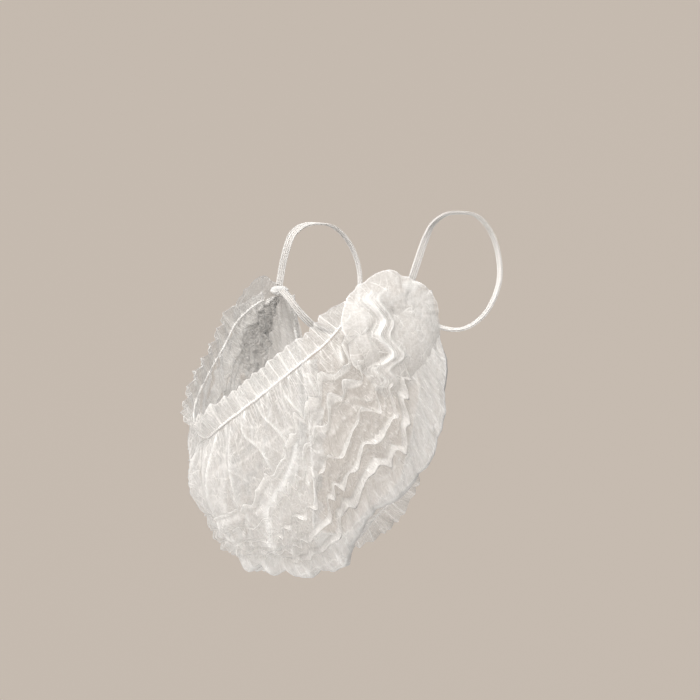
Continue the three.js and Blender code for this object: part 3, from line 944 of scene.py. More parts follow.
@dataclass
class Pouch:
    """The pleated sheet between the two elastics.

    Attributes:
        stations: the places along the net that the tables are for, from the middle to an end.
        kept: how much of its full depth the pleating keeps at each station.
        pleat_length, pleat_lean, pleat_sway: how far a flap stands out, lies over and sways, the last two in
            degrees.
        pleat_drift, zigzag, zigzags: how far a pleat wanders by itself, how far all of them wander together,
            and how often.
        flap_flutter: how uneven a flap's edge is.
        ply_gap: the space between the two layers of a fold.
        billow, puff, chin_puff: how far the cloth swells above the pleats and between them.
        tie_height: the height of the ridges that join the pleats.
        band_lift, band_folds, fold_height: the loose band along the outer fold and its fine folds.
        scallop, lobes, small_lobes: the height of the band's lobes, and how many there are.
        long_fold, hanging_pitch: the folds that hang from the upper elastic.
        crumple: the height of the creases all over.
        long_creases, cross_creases, small_creases, grain: how far apart they are, along the net and down it.
        hanging_wander, hanging_slant: how far down a hanging fold bends once, and moves over by one pitch
            in five.
        pucker, tight_pitch, tight_reach, loose_pitch, loose_reach, line_reach, gather_reach: the gathers
            along the elastics.
        upper_half, fold_half, under_width: lengths of cloth that set the size of the creases.
        flat_size: the width and length of the sheet laid flat.
    """

    columns: int = 575
    stations: tuple[float, ...] = (0.0, 0.3, 0.6, 0.75, 0.9, 1.0)
    pleats: tuple[Pleat, ...] = (
        Pleat((0.53, 0.4, 0.19, 0.13, 0.1, 0.1), 1.35, 27, 0.1, -1.0),
        Pleat((0.63, 0.5, 0.32, 0.22, 0.17, 0.15), 1.1, 35, 0.45, -0.7),
        Pleat((0.72, 0.61, 0.47, 0.32, 0.24, 0.21), 1.15, 30, 0.7, -0.2),
        Pleat((0.8, 0.71, 0.6, 0.41, 0.31, 0.27), 0.9, 39, 0.2, 0.5),
        Pleat((0.87, 0.81, 0.72, 0.5, 0.38, 0.33), 1.05, 33, 0.55, 1.0),
    )
    pleat_length: float = 5.6 * MM
    pleat_lean: float = 40.0
    pleat_sway: float = 19.0
    pleat_drift: float = 1.5 * MM
    zigzag: float = 2.3 * MM
    zigzags: float = 14.0
    ply_gap: float = 0.5 * MM
    kept: tuple[float, ...] = (0.16, 0.84, 1.0, 0.88, 0.62, 0.3)
    tie_height: float = 1.7 * MM
    band_lift: float = 3.8 * MM
    scallop: float = 2.2 * MM
    long_fold: float = 2.3 * MM
    crumple: float = 0.75 * MM
    long_creases: tuple[float, float] = (21 * MM, 50 * MM)
    cross_creases: tuple[float, float] = (19 * MM, 34 * MM)
    small_creases: tuple[float, float] = (8 * MM, 12 * MM)
    grain: tuple[float, float] = (3.4 * MM, 4.8 * MM)
    hanging_wander: float = 35 * MM
    hanging_slant: float = 30 * MM
    pucker: float = 0.9 * MM
    gather_reach: float = 0.02
    flap_flutter: float = 0.65 * MM
    billow: float = 2.5 * MM
    puff: float = 0.9 * MM
    chin_puff: float = 1.1 * MM
    fold_height: float = 0.24 * MM
    band_folds: float = 47.0
    lobes: float = 17.0
    small_lobes: float = 41.0
    hanging_pitch: float = 13.5 * MM
    tight_pitch: float = 3.1 * MM
    tight_reach: float = 6 * MM
    loose_pitch: float = 7.9 * MM
    loose_reach: float = 22 * MM
    line_reach: float = 12 * MM
    upper_half: float = 150 * MM
    fold_half: float = 195 * MM
    under_width: float = 40 * MM
    panel_rows: int = 34
    gap_rows: int = 9
    band_rows: int = 26
    under_rows: int = 27
    flat_size: tuple[float, float] = (0.20, 0.42)

    def _add_panel(self, rows: SectionRows, u: np.ndarray, end: np.ndarray) -> None:
        """Adds the unpleated cloth between the upper elastic and the first pleat.

        Args:
            rows: where to add it.
            u: the columns.
            end: the place across of the first pleat's foot.
        """
        for share in np.linspace(0, 1, self.panel_rows, endpoint=False):
            swell = 0.08 * end * FORM.height(u) * math.sin(math.pi * share)
            rows.add(end * share, np.minimum(swell, self.billow))

    def _add_flap(
        self,
        rows: SectionRows,
        u: np.ndarray,
        number: int,
        centre: np.ndarray,
        phase: np.ndarray,
    ) -> None:
        """Adds a pleat's flap, up one side and down the other.

        Args:
            rows: where to add it.
            u: the columns.
            number: which pleat.
            centre: the place across of its foot.
            phase: the place of each column in the pleat's sway.
        """
        pleat, uneven = self.pleats[number], Unevenness(20 + number)
        height, kept = FORM.height(u), along(self.stations, self.kept, np.abs(u))
        length = self.pleat_length * pleat.length * kept * (1 + 0.25 * uneven.at(u * 17, 7.7))
        sway = self.pleat_sway * crease_wave(phase, 0.9) * (1 + 0.45 * uneven.at(u * 15 + 9, 4.4)) * kept
        lean = np.radians(
            np.clip(self.pleat_lean * pleat.lean + sway + 10 * uneven.at(u * 7 + 40, 1.5), -76, 76)
        )
        flutter = self.flap_flutter * uneven.creases(u * 42, 5.5)
        up = (0.0, 0.22, 0.46, 0.7, 0.9, 1.0)
        for side, shares in ((-1, up), (1, up[-2::-1])):
            for share in shares:
                angle = lean * (0.3 + 0.7 * share)
                apart = side * 0.5 * self.ply_gap * (1 - share**3)
                place = centre + ((length + flutter) * share * np.sin(angle) + apart * np.cos(angle)) / height
                high = length * share * np.cos(angle) - apart * np.sin(angle) + flutter * share**2
                line = bell(1 - share, 0.08) + 0.16 * bell(share - 0.46, 0.12)
                rows.add(place, np.maximum(high, 0.0), line, 0.25 * share)

    def _add_gap(
        self,
        rows: SectionRows,
        edges: tuple[np.ndarray, np.ndarray],
        phases: tuple[np.ndarray, np.ndarray],
        kept: np.ndarray,
        puffed: np.ndarray,
    ) -> None:
        """Adds the cloth between two pleats, with the ridges that join them.

        Args:
            rows: where to add it.
            edges: the places across where the first pleat ends and the second one starts.
            phases: the place of each column in the two pleats' sway.
            kept: how much of its full depth the pleating keeps in each column.
            puffed: how far the cloth swells in each column.
        """
        (start, end), (first, second) = edges, phases
        for share in np.linspace(0, 1, self.gap_rows + 1)[1:-1]:
            ties = (1 - share) * (first + 0.5 * share) + share * second
            ridge = 1 - 2 * np.abs(np.sin(np.pi * ties)) ** 0.8
            high = self.tie_height * ridge * math.sin(math.pi * share) * (0.5 + 0.5 * kept)
            high = high + puffed * math.sin(math.pi * share)
            rows.add(start + (end - start) * share, high, 0.9 * past(ridge, 0.6))

    def _add_band(self, rows: SectionRows, u: np.ndarray, start: np.ndarray, kept: np.ndarray) -> None:
        """Adds the loose band from the last pleat over the outer fold to the lower elastic.

        Args:
            rows: where to add it.
            u: the columns.
            start: the place across where the last pleat ends.
            kept: how much of its full depth the pleating keeps in each column.
        """
        s = np.abs(u)
        band_kept = np.maximum(kept, 0.85) * (1 - 0.85 * smooth_step(0.86, 0.97, s))
        uneven = Unevenness(31)
        folds = crease_wave(u / 2 * self.band_folds + 0.7 * uneven.at(u * 15, 1.0))
        lobe_phase = u / 2 * self.lobes + 0.05 + 0.5 * uneven.at(u * 6, 7.0)
        small_phase = u / 2 * self.small_lobes + 0.6 * uneven.at(u * 9, 4.0)
        scallops = 0.95 * (2 * np.abs(np.sin(np.pi * lobe_phase)) ** 0.9 - 1.25)
        scallops = scallops + 0.14 * np.sin(2 * np.pi * small_phase)
        fuller = self.scallop * (0.45 + 0.75 * (1 - smooth_step(0.15, 0.55, s)))
        chin_folds = 1 + 1.9 * (1 - smooth_step(0.2, 0.5, s))
        chin = 1 - smooth_step(0.16, 0.5, s)
        lines = (0.4 + 0.4 * chin) * past(folds, 0.45)
        outer_folds = self.fold_height * folds * chin_folds
        for share in np.linspace(0, 1, self.band_rows + 1)[1:-1]:
            rise = math.sin(0.5 * math.pi * share)
            fine_folds = (0.15 + 0.45 * share) * (1 - 0.6 * share**3) * MM * folds * chin_folds
            high = self.band_lift * rise + fine_folds + fuller * scallops * share**2.5
            # The crest mask whitens the outer fold and the band's fold lines, partly as doubled cloth and
            # partly as a painted highlight.
            crest = np.maximum(0.9 * bell(1 - share, 0.05), lines * share)
            rows.add(start + (1.0 - start) * share, high * band_kept, crest, (0.6 + 0.3 * chin) * rise)
        for share in np.linspace(0, 1, self.under_rows):
            fall = (1 - share) ** 2
            high = self.band_lift * fall + outer_folds * fall + fuller * scallops * (1 - share) ** 3.5
            rows.add(1.0 + share, high * band_kept, 0.9 * bell(share, 0.04), 0.5 * fall)

    def _rows(self, u: np.ndarray) -> tuple[np.ndarray, ...]:
        """Lays the whole section out.

        Args:
            u: the columns.

        Returns:
            The rows' place across, height over the unpleated pouch, crest mask and ply mask, columns by rows.
        """
        s, height = np.abs(u), FORM.height(u)
        kept = along(self.stations, self.kept, s)
        half = 0.5 * self.ply_gap / height
        wander = self.zigzag * crease_wave(u / 2 * self.zigzags + 0.2 * Unevenness(9).at(u * 6, 1.0)) * kept
        puffed = self.puff + self.chin_puff * (1 - smooth_step(0.0, 0.3, s))
        rows = SectionRows(len(u))
        before, phase_before = None, None
        for number, pleat in enumerate(self.pleats):
            uneven = Unevenness(60 + number)
            phase = u / 2 * pleat.teeth + pleat.phase + 0.9 * uneven.at(u * 11 + 11, 3.3)
            drift = self.pleat_drift * crease_wave(phase + 0.12, 0.9) * kept
            drift = drift * (1 + 0.5 * uneven.at(u * 13, 6.0))
            centre = along(self.stations, pleat.place, s) + (wander + drift) / height
            if before is None:
                self._add_panel(rows, u, centre - half)
            else:
                self._add_gap(rows, (before, centre - half), (phase_before, phase), kept, puffed)
            self._add_flap(rows, u, number, centre, phase)
            before, phase_before = centre + half, phase
        self._add_band(rows, u, before, kept)
        return rows.stacked()

    def _crumpled(self, u: np.ndarray, across: np.ndarray, lift: np.ndarray) -> tuple[np.ndarray, ...]:
        """Works out the loose folds, creases and puckers of the whole sheet.

        Args:
            u: the columns.
            across: the places across, columns by rows.
            lift: the heights over the unpleated pouch.

        Returns:
            What to add to the heights, how sharply each point is creased, and how far it is doubled over in a
            hanging fold, both from 0 to 1.
        """
        s = np.abs(u)[:, None]
        x = u[:, None] * (self.upper_half + (self.fold_half - self.upper_half) * np.clip(across, 0, 1))
        down = across * FORM.height(u)[:, None]
        up = np.clip(2 - across, 0, 2) * self.under_width
        wide, middle, fine, slant = Unevenness(3), Unevenness(4), Unevenness(5), Unevenness(6)
        (long_x, long_y), (cross_x, cross_y) = self.long_creases, self.cross_creases
        (small_x, small_y), (grain_x, grain_y) = self.small_creases, self.grain
        first = along(self.stations, self.pleats[0].place, np.abs(u))[:, None]
        chin_panel = 0.7 * (1 - smooth_step(0.1, 0.36, s)) * (1 - smooth_step(0.7, 1.05, across))
        panel = np.maximum(1 - smooth_step(0.85, 1.1, across / first), chin_panel)
        waves = x / self.hanging_pitch + 0.7 * wide.at(x / long_x, down / self.hanging_wander)
        waves = waves + 0.2 * down / self.hanging_slant
        hanging = (1 - 2 * np.abs(np.sin(np.pi * waves)) ** 0.6) * smooth_step(0.0, 12 * MM, down) * panel
        long_creases = wide.creases(x / long_x + 0.35 * down / long_x, down / long_y)
        cross_creases = slant.creases(x / cross_x - 0.8 * down / cross_x, down / cross_y + 9)
        small = middle.creases(x / small_x + 30, down / small_y)
        grain = fine.at(x / grain_x, down / grain_y)
        from_edge = smooth_step(0.0, 8 * MM, down) * smooth_step(0.0, 12 * MM, up)
        pleated = 0.5 + 0.5 * (1 - smooth_step(0.0, 4 * MM, lift))
        added = (0.6 * long_creases + 0.6 * cross_creases + 0.36 * small + 0.16 * grain) * from_edge * pleated
        near = np.minimum(down, 9 * up)
        tight = crease_wave(x / self.tight_pitch + 0.6 * fine.at(x / 0.011, 3.0))
        loose = crease_wave(x / self.loose_pitch + 0.6 * middle.at(x / 0.019, 8.0))
        pucker = 0.55 * tight * np.exp(-near / self.tight_reach)
        pucker = pucker + 1.7 * loose * np.exp(-near / self.loose_reach)
        pucker = pucker * smooth_step(0.0, 3 * MM, near)
        long_fold = self.long_fold * (1 - 0.4 * smooth_step(0.5, 0.8, s))
        high = self.crumple * added + self.pucker * pucker + long_fold * hanging
        creased = 0.8 * past(np.maximum(long_creases, cross_creases), 0.86)
        sharp = np.maximum(np.maximum(creased, 0.6 * past(small, 0.8)), 1.7 * past(hanging, 0.25))
        gathers = 1.1 * np.clip(loose, 0, 1) ** 5 * np.exp(-near / self.line_reach)
        sharp = np.clip(np.maximum(sharp * from_edge, gathers), 0, 1)
        return high, sharp, 0.42 * np.clip(hanging + 0.15, 0, 1)

    def surface(self) -> Cloth:
        """Lays the pleated sheet, from the upper elastic over the outer fold to the lower elastic.

        Returns:
            The sheet.
        """
        u = np.linspace(-1, 1, self.columns)
        across, lift, crest, ply = self._rows(u)
        added, sharp, doubled = self._crumpled(u, across, lift)
        lift = lift + added * (1 - 0.8 * smooth_step(0.93, 1.0, np.abs(u))[:, None])
        wide = np.broadcast_to(u[:, None], across.shape)
        grid = FORM.point(wide, across) + FORM.normal(wide, across) * lift[..., None]
        step = np.linalg.norm(np.diff(grid, axis=1), axis=-1)
        run = np.concatenate([np.zeros((len(u), 1)), np.cumsum(step, 1)], 1)
        over = np.stack([wide * self.flat_size[1] / 2, run], -1)
        near = np.minimum(run, 0.8 * (run[:, -1:] - run))
        gathered = np.exp(-near / self.gather_reach) + 0.14 * np.clip(across - 1, 0, 1)
        # Creases join the crest mask, which whitens them partly as a painted highlight, and hanging folds
        # join the plies.
        crest, ply = np.maximum(crest, 0.6 * sharp), np.maximum(ply, doubled)
        return Cloth.from_grid(grid, over, crest=crest, ply=ply, gathered=gathered)

    def build(self, cloth: bpy.types.Material) -> bpy.types.Object:
        """Makes and dresses the pouch.

        Args:
            cloth: the nonwoven finish.

        Returns:
            The piece.
        """
        piece = self.surface().piece("pleated_pouch")
        piece.data.materials.append(cloth)
        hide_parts("net_pouch")
        return piece


# Ruffles and their elastics


@dataclass
class GatheredEdge:
    """An edge of the net: its elastic thread and the ruffle of loose cloth beyond it.

    Attributes:
        which: the edge.
        ruffle_width: how far the ruffle reaches from the elastic.
        end: how far along the net it goes, where 1 is a gathered end.
        seed: sets its unevenness.
        end_width: the share of its width that the upper ruffle keeps near the end hoods.
        fold_pitch, wave_height: its wide folds.
        fine_pitch, fine_height: the narrow folds beside the elastic.
        edge_crumple: the height of the creases near its free edge.
        curl: how far it bends over, as a share of its width.
        ply_gap: the space between its two layers.
        cord_radius, thread_end, twist_pitch: the elastic thread, how far along it goes, and its twist.
        flat_length: the length of the net's cloth laid flat.
    """

    which: Edge
    ruffle_width: float
    end: float
    seed: int
    columns: int = 760
    end_width: float = 0.4
    fold_pitch: float = 5.6 * MM
    wave_height: float = 1.35 * MM
    fine_height: float = 0.6 * MM
    fine_pitch: float = 2.9 * MM
    edge_crumple: float = 0.25 * MM
    curl: float = 0.1
    ply_gap: float = 0.5 * MM
    cord_radius: float = 0.54 * MM
    thread_end: float = 0.96
    thread_columns: int = 1500
    thread_sides: int = 8
    twist_pitch: float = 1.5 * MM
    flat_length: float = 0.42

    def _frame(self, u: np.ndarray) -> tuple[np.ndarray, np.ndarray, np.ndarray, np.ndarray]:
        """The edge's line and directions.

        Args:
            u: the columns.

        Returns:
            Points on the elastic, the way along it, the way the ruffle runs, and the way its waves go.
        """
        step = 0.004
        base = FORM.edge(self.which, u)
        tangent = unit(FORM.edge(self.which, u + step) - FORM.edge(self.which, u - step))
        if self.which is Edge.UPPER:
            flare = np.radians(FORM.share("flare", u))[:, None]
            away = FORM.outward(base)
            up = base - FORM.point(u, np.full_like(u, 0.2))
            up = up - away * np.sum(up * away, -1, keepdims=True)
            up = unit(up - tangent * np.sum(up * tangent, -1, keepdims=True))
            run = up * np.cos(flare) + away * np.sin(flare)
        else:
            turn = np.radians(FORM.share("turn", u))
            run = np.stack([-0.3 * u, np.sin(turn), -np.cos(turn)], -1)
        run = unit(run - tangent * np.sum(run * tangent, -1, keepdims=True))
        return base, tangent, run, unit(np.cross(run, tangent))

    def _width_kept(self, u: np.ndarray) -> np.ndarray:
        """Works out how much of its width the ruffle keeps, as the upper one runs on into the end hoods.

        Args:
            u: the columns.

        Returns:
            The share that it keeps.
        """
        if self.which is Edge.LOWER:
            return np.ones_like(u)
        return 1 - (1 - self.end_width) * smooth_step(0.72, 0.86, np.abs(u))

    def ruffle(self) -> Cloth:
        """Lays the loose cloth, a doubled sheet that is folded along its free edge.

        Returns:
            The sheet.
        """
        u = np.linspace(-self.end, self.end, self.columns)
        base, tangent, run, wave = self._frame(u)
        uneven = Unevenness(self.seed)
        length = distances(base)
        phase = length / self.fold_pitch + 0.55 * uneven.at(length / (13 * MM), 1.0)
        fine_phase = length / self.fine_pitch + 0.8 * uneven.at(length / (8 * MM), 4.0)
        ridge = 1 - 2 * np.abs(np.sin(np.pi * phase)) ** 1.05
        sway = crease_wave(phase / 2 + 0.3 * uneven.at(length / (20 * MM), 8.0), 0.8)
        full = self._width_kept(u)
        width = self.ruffle_width * full * (1 + 0.06 * uneven.at(length / (16 * MM), 2.0) + 0.08 * ridge)
        clear = FORM.thread_width / 2 - 0.1 * MM
        reaches = (0.0, 0.05, 0.11, 0.18, 0.27, 0.37, 0.48, 0.6, 0.72, 0.83, 0.92, 0.98, 1.0)
        points, masks, overs = [], [], []
        for side, shares in ((1, reaches), (-1, reaches[-2::-1])):
            for share in shares:
                open_share = share**0.8
                high = self.wave_height * (ridge + 1.3 * sway) * open_share * full
                fine = math.exp(-share / 0.25) * min(1.0, 8 * share)
                high = high + self.fine_height * crease_wave(fine_phase) * fine
                creases = uneven.creases(length / (6.5 * MM) + 0.8 * share, 3.5 * share + 3 * side)
                high = high + self.edge_crumple * creases * share
                apart = 0.5 * self.ply_gap * math.sin(math.pi * min(1.0, share * 1.02))
                high = high + side * apart * (1 + 0.6 * uneven.at(length / (7 * MM), 9 + side))
                slip = 0.7 * MM * np.sin(2 * np.pi * phase) + 0.9 * MM * uneven.at(length / (14 * MM), 15.0)
                bend = self.curl * self.ruffle_width * share**2 * (0.5 + uneven.at(length / (22 * MM), 12.0))
                reach = clear + (width - clear) * share
                point = base + run * reach[:, None] + wave * (high + bend)[:, None]
                points.append(point + tangent * (slip * share**1.2)[:, None])
                near = math.exp(-share / 0.07)
                hem = bell(1 - share, 0.04)
                lines = (
                    past(ridge, 0.6) * (0.85 + 0.4 * uneven.at(length / (6 * MM), 5.0)) * (1 - 0.2 * share)
                )
                # The ruffle's crest mask whitens its ridges, its hem and the gathers by the elastic, partly
                # as a painted highlight.
                masks.append(np.clip(lines + 0.6 * hem + 0.5 * near, 0, 1))
                overs.append(np.full_like(length, (share if side > 0 else 2 - share) * self.ruffle_width))
        grid = np.stack(points, 1)
        laid = np.repeat((u / self.end * self.flat_length / 2)[:, None], grid.shape[1], 1)
        over = np.stack([laid, np.stack(overs, 1)], -1)
        return Cloth.from_grid(grid, over, crest=np.stack(masks, 1), ply=0.0, gathered=0.45)

    def thread(self) -> Cloth:
        """Runs the elastic, a thin cord that the gathers swell around.

        Returns:
            Its surface.
        """
        u = np.linspace(-self.thread_end, self.thread_end, self.thread_columns)
        base, _, run, wave = self._frame(u)
        length, uneven = distances(base), Unevenness(self.seed + 50)
        twist = np.sin(2 * np.pi * length / self.twist_pitch + 1.8 * uneven.at(length / (5 * MM)))
        swell = 1 + 0.24 * twist + 0.16 * uneven.at(length / (1.1 * MM))
        shift = 0.12 * MM * uneven.at(length / (3 * MM), 3.0)
        radius, angles = self.cord_radius * swell, ring_angles(self.thread_sides)
        ring = [
            base + run * (np.cos(angle) * radius + shift)[:, None] + wave * (np.sin(angle) * radius)[:, None]
            for angle in angles
        ]
        around = angles * FORM.thread_width / 2
        over = np.stack(np.broadcast_arrays(length[:, None], around[None, :]), -1)
        # Painted shade where the twisted cord is thinner.
        hollow = np.clip(0.9 - 0.9 * swell, 0, 1)[:, None]
        return Cloth.from_grid(np.stack(ring, 1), over, closed=True, hollow=hollow)

    def build(self, cloth: bpy.types.Material, elastic: bpy.types.Material) -> list[bpy.types.Object]:
        """Makes and dresses the thread and its ruffle.

        Args:
            cloth: the nonwoven finish.
            elastic: the thread's finish.

        Returns:
            The two pieces.
        """
        name = self.which.value
        thread = self.thread().piece(f"{name}_edge_thread")
        thread.data.materials.append(elastic)
        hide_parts(f"{name}_elastic")
        ruffle = self.ruffle().piece(f"{name}_edge_ruffle")
        ruffle.data.materials.append(cloth)
        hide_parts(f"{name}_ruffle")
        kept = self._width_kept(np.linspace(-self.end, self.end, self.columns)).mean()
        return [thread, ruffle]


# The ends and the ear loops


@dataclass(frozen=True)
class RimPoint:
    """A point of the end hood's rim seen from the left.

    Attributes:
        angle: its direction, in degrees up from straight back.
        reach: its distance from the hood's middle.
    """

    angle: float
    reach: float


@dataclass
class PressedEnd:
    """Where the pleats of one side are pressed together around the ear loop, under a hood of loose cloth.

    Attributes:
        length, height, thickness: of the pressed lozenge.
        place: where it sits, as a share of the way from the upper elastic to the outer fold.
        gap: the space between it and the pouch.
        hood_forward, hood_below: from the lozenge to the hood's middle.
        hood_puff, hood_clearance, hood_tuck: how far the hood swells, clears the pouch and is tucked in.
        rim: the hood's outline.
        crest_drop, crest_forward: the line of the hood's crest, seen from the side.
        crest_height, second_height, groove_depth: of the crest, of the one beside it and of the hollow that
            lies between them and the hood's front.
        crest_front, crest_back, crest_line: how far the crest slopes forwards and backwards, and how wide
            its sharp line is.
        second_back, second_sway, second_width: how far behind the crest the second one is, how far it
            wanders, and how wide it is.
        groove_front, groove_width: how far before the crest the hollow is, and how wide.
        ply_height, ply_pitch, ply_reach: the fine lines beside the crest.
        lobe_middle, lobe_size: the swelling ahead of the crest, forwards and down.
        lobe_height, fan_height, crease_height, rim_height, rim_flutter: the hood's other folds.
        crease_size: how far apart its creases are, across and down.
        pinch: where the fan of fine folds starts.
        flat_size: the width and length of the hood's cloth laid flat; not used.
    """

    length: float = 11 * MM
    height: float = 5.4 * MM
    thickness: float = 3.4 * MM
    place: float = 0.38
    gap: float = 0.3 * MM
    hood_forward: float = 11.4 * MM
    hood_below: float = 14.4 * MM
    hood_puff: float = 5.2 * MM
    hood_clearance: float = 0.8 * MM
    hood_tuck: float = 3.0 * MM
    rim: tuple[RimPoint, ...] = (
        RimPoint(-60, 34.5 * MM),
        RimPoint(-43, 32.5 * MM),
        RimPoint(-25, 29.5 * MM),
        RimPoint(-8, 26.0 * MM),
        RimPoint(14, 24.0 * MM),
        RimPoint(30, 24.2 * MM),
        RimPoint(46, 21.6 * MM),
        RimPoint(68, 20.6 * MM),
        RimPoint(88, 21.8 * MM),
        RimPoint(117, 20.2 * MM),
        RimPoint(147, 20.6 * MM),
        RimPoint(180, 22.6 * MM),
        RimPoint(214, 25.0 * MM),
        RimPoint(236, 31.0 * MM),
        RimPoint(252, 33.5 * MM),
        RimPoint(268, 41.0 * MM),
        RimPoint(284, 38.0 * MM),
        RimPoint(300, 34.5 * MM),
    )
    crest_drop: tuple[float, ...] = (
        -14 * MM,
        -7 * MM,
        3 * MM,
        10.5 * MM,
        20 * MM,
        27 * MM,
        33.5 * MM,
        42 * MM,
    )
    crest_forward: tuple[float, ...] = (
        9 * MM,
        13.0 * MM,
        6.3 * MM,
        9.2 * MM,
        2.4 * MM,
        9.0 * MM,
        4.0 * MM,
        8.0 * MM,
    )
    pinch: tuple[float, float] = (7.5 * MM, -3.5 * MM)
    crest_front: float = 1.5 * MM
    crest_back: float = 4.5 * MM
    crest_line: float = 0.9 * MM
    second_back: float = 5.2 * MM
    second_sway: float = 1.4 * MM
    second_width: float = 1.3 * MM
    groove_front: float = 3.2 * MM
    groove_width: float = 2.2 * MM
    ply_reach: float = 3.4 * MM
    lobe_middle: tuple[float, float] = (15.5 * MM, 9 * MM)
    lobe_size: tuple[float, float] = (6.5 * MM, 12.5 * MM)
    crest_height: float = 2.6 * MM
    second_height: float = 1.3 * MM
    groove_depth: float = 2.6 * MM
    ply_height: float = 0.3 * MM
    ply_pitch: float = 1.3 * MM
    lobe_height: float = 3.0 * MM
    fan_height: float = 0.38 * MM
    crease_height: float = 0.6 * MM
    crease_size: tuple[float, float] = (12 * MM, 20 * MM)
    rim_height: float = 0.8 * MM
    rim_flutter: float = 0.2 * MM
    flat_size: tuple[float, float] = (0.056, 0.068)

    def centre(self) -> np.ndarray:
        """The middle of the left pressed end."""
        upper, fold = FORM.edge(Edge.UPPER, np.array(1.0)), FORM.edge(Edge.FOLD, np.array(1.0))
        return upper + (fold - upper) * self.place + [0, 0, self.gap + self.height / 2]

    def _side(self, y: np.ndarray, z: np.ndarray) -> np.ndarray:
        """Reads a smooth shell over the left end of the pouch.

        Args:
            y, z: where to read it.

        Returns:
            How far to the side it is.
        """
        u, across = np.meshgrid(np.linspace(0.66, 1.0, 18), np.linspace(0.0, 1.0, 12), indexing="ij")
        known = FORM.point(u, across).reshape(-1, 3)

        def terms(a: np.ndarray, b: np.ndarray) -> np.ndarray:
            """The terms of a surface of the second degree."""
            return np.stack([np.ones_like(a), a, b, a * a, a * b, b * b], -1)

        fitted = np.linalg.lstsq(terms(known[:, 1] * 10, known[:, 2] * 10), known[:, 0], rcond=None)[0]
        return terms(np.asarray(y) * 10, np.asarray(z) * 10) @ fitted

    def weld(self) -> Cloth:
        """Shapes the pressed lozenge, thinner along its rim and dimpled all over.

        Returns:
            Its surface.
        """
        around, across = np.meshgrid(ring_angles(112), np.linspace(-1, 1, 49), indexing="ij")
        rim = np.sqrt(np.clip(1 - np.abs(across) ** 3.2, 0.0004, 1))
        dimple = 1 - 0.13 * (0.5 + 0.5 * np.cos(18 * around) * np.cos(9 * across)) ** 2
        dimple = dimple + 0.05 * Unevenness(81).at(around * 3, across * 2)
        centre = self.centre()
        grid = np.stack(
            [
                centre[0] + across * self.thickness / 2 * 0.92,
                centre[1] + np.cos(around) * rim * dimple * self.length / 2,
                centre[2] + np.sin(around) * rim * dimple * self.height / 2,
            ],
            -1,
        ).transpose(1, 0, 2)
        over = np.stack([around * self.length / 2, across * self.thickness], -1).transpose(1, 0, 2)
        return Cloth.from_grid(grid, over, closed=True, crest=0.6, ply=1.0, gathered=0.0)

    def _crest(
        self,
        forward: np.ndarray,
        drop: np.ndarray,
        uneven: Unevenness,
    ) -> tuple[np.ndarray, np.ndarray]:
        """Works out the pleats' last crest, the second one beside it and the groove before them.

        Args:
            forward, drop: places, from the hood's middle.
            uneven: the hood's unevenness.

        Returns:
            Heights, and how sharply each point is folded, from 0 to 1.
        """
        beside_crest = np.clip(drop, self.crest_drop[0], self.crest_drop[-1])
        beside = forward - along(self.crest_drop, self.crest_forward, beside_crest)
        steep = np.where(beside > 0, self.crest_front, self.crest_back)
        crest = np.exp(-np.abs(beside) / steep)
        apart = self.second_back + self.second_sway * uneven.at(drop / (8 * MM), 3.0)
        second = np.exp(-np.abs(beside + apart) / self.second_width)
        groove = bell(beside - self.groove_front, self.groove_width)
        plies = np.cos(2 * np.pi * beside / self.ply_pitch) * bell(beside, self.ply_reach)
        strength = smooth_step(-16 * MM, -6 * MM, drop) * (1 - smooth_step(30 * MM, 42 * MM, drop))
        folds = self.crest_height * crest + self.second_height * second + self.ply_height * plies
        doubled = 0.55 * np.clip(plies, 0, 1) + 0.6 * np.clip(second * 1.3 - 0.3, 0, 1)
        lines = 0.75 * bell(beside, self.crest_line) + doubled
        return strength * (folds - self.groove_depth * groove), strength * lines

    def _fan(
        self,
        forward: np.ndarray,
        drop: np.ndarray,
        share: np.ndarray,
        uneven: Unevenness,
    ) -> tuple[np.ndarray, np.ndarray]:
        """Works out the fine folds that fan out from the pinch.

        Args:
            forward, drop: places, from the hood's middle.
            share: how far out each point is, from 0 at the middle to 1 at the rim.
            uneven: the hood's unevenness.

        Returns:
            The folds, and how strong they are, from 0 to 1.
        """
        pinch_forward, pinch_drop = forward - self.pinch[0], drop - self.pinch[1]
        pinch_turn = np.arctan2(-pinch_drop, pinch_forward) / (2 * np.pi)
        from_pinch = np.hypot(pinch_forward, pinch_drop)
        wide_phase = pinch_turn * 17 + 0.45 * uneven.at(pinch_turn * 11 + 9, from_pinch / (30 * MM))
        fine_phase = pinch_turn * 39 + 0.6 * uneven.at(pinch_turn * 23 + 9, from_pinch / (12 * MM))
        fan = crease_wave(wide_phase, 0.97) + 0.45 * crease_wave(fine_phase)
        ahead = smooth_step(-0.10, 0.02, pinch_turn) * (1 - smooth_step(0.24, 0.34, pinch_turn))
        fanned = (0.25 + 0.75 * ahead) * smooth_step(2 * MM, 16 * MM, from_pinch) * (1 - 0.55 * share**3)
        return fan, fanned

    def hood(self) -> Cloth:
        """Lays the loose end of the cloth, puffed out over the pressed end.

        The pleats' last crest runs down its middle.

        Returns:
            The sheet.
        """
        degrees = np.linspace(-60, 300, 361)[:, None]
        share = np.linspace(0, 1, 80)[None, :]
        uneven = Unevenness(71)
        turn, angle = degrees / 360, np.radians(degrees)
        free = smooth_step(-30, 5, degrees) * (1 - smooth_step(236, 256, degrees))
        reach = along([p.angle for p in self.rim], [p.reach for p in self.rim], degrees[:, 0])[:, None]
        rim_wave = np.sin(2 * np.pi * (turn * 12 + 0.6 * uneven.at(turn * 9 + 5, 1.0)))
        flutter = np.sin(2 * np.pi * (turn * 31 + 0.7 * uneven.at(turn * 21 + 5, 2.0)))
        reach = reach * (1 + (0.02 * rim_wave + 0.004 * flutter) * free)
        out = share**0.9 * reach
        forward, drop = -np.cos(angle) * out, -np.sin(angle) * out
        centre = self.centre() + [0, -self.hood_forward, -self.hood_below]
        y, z = centre[1] - forward, centre[2] - drop

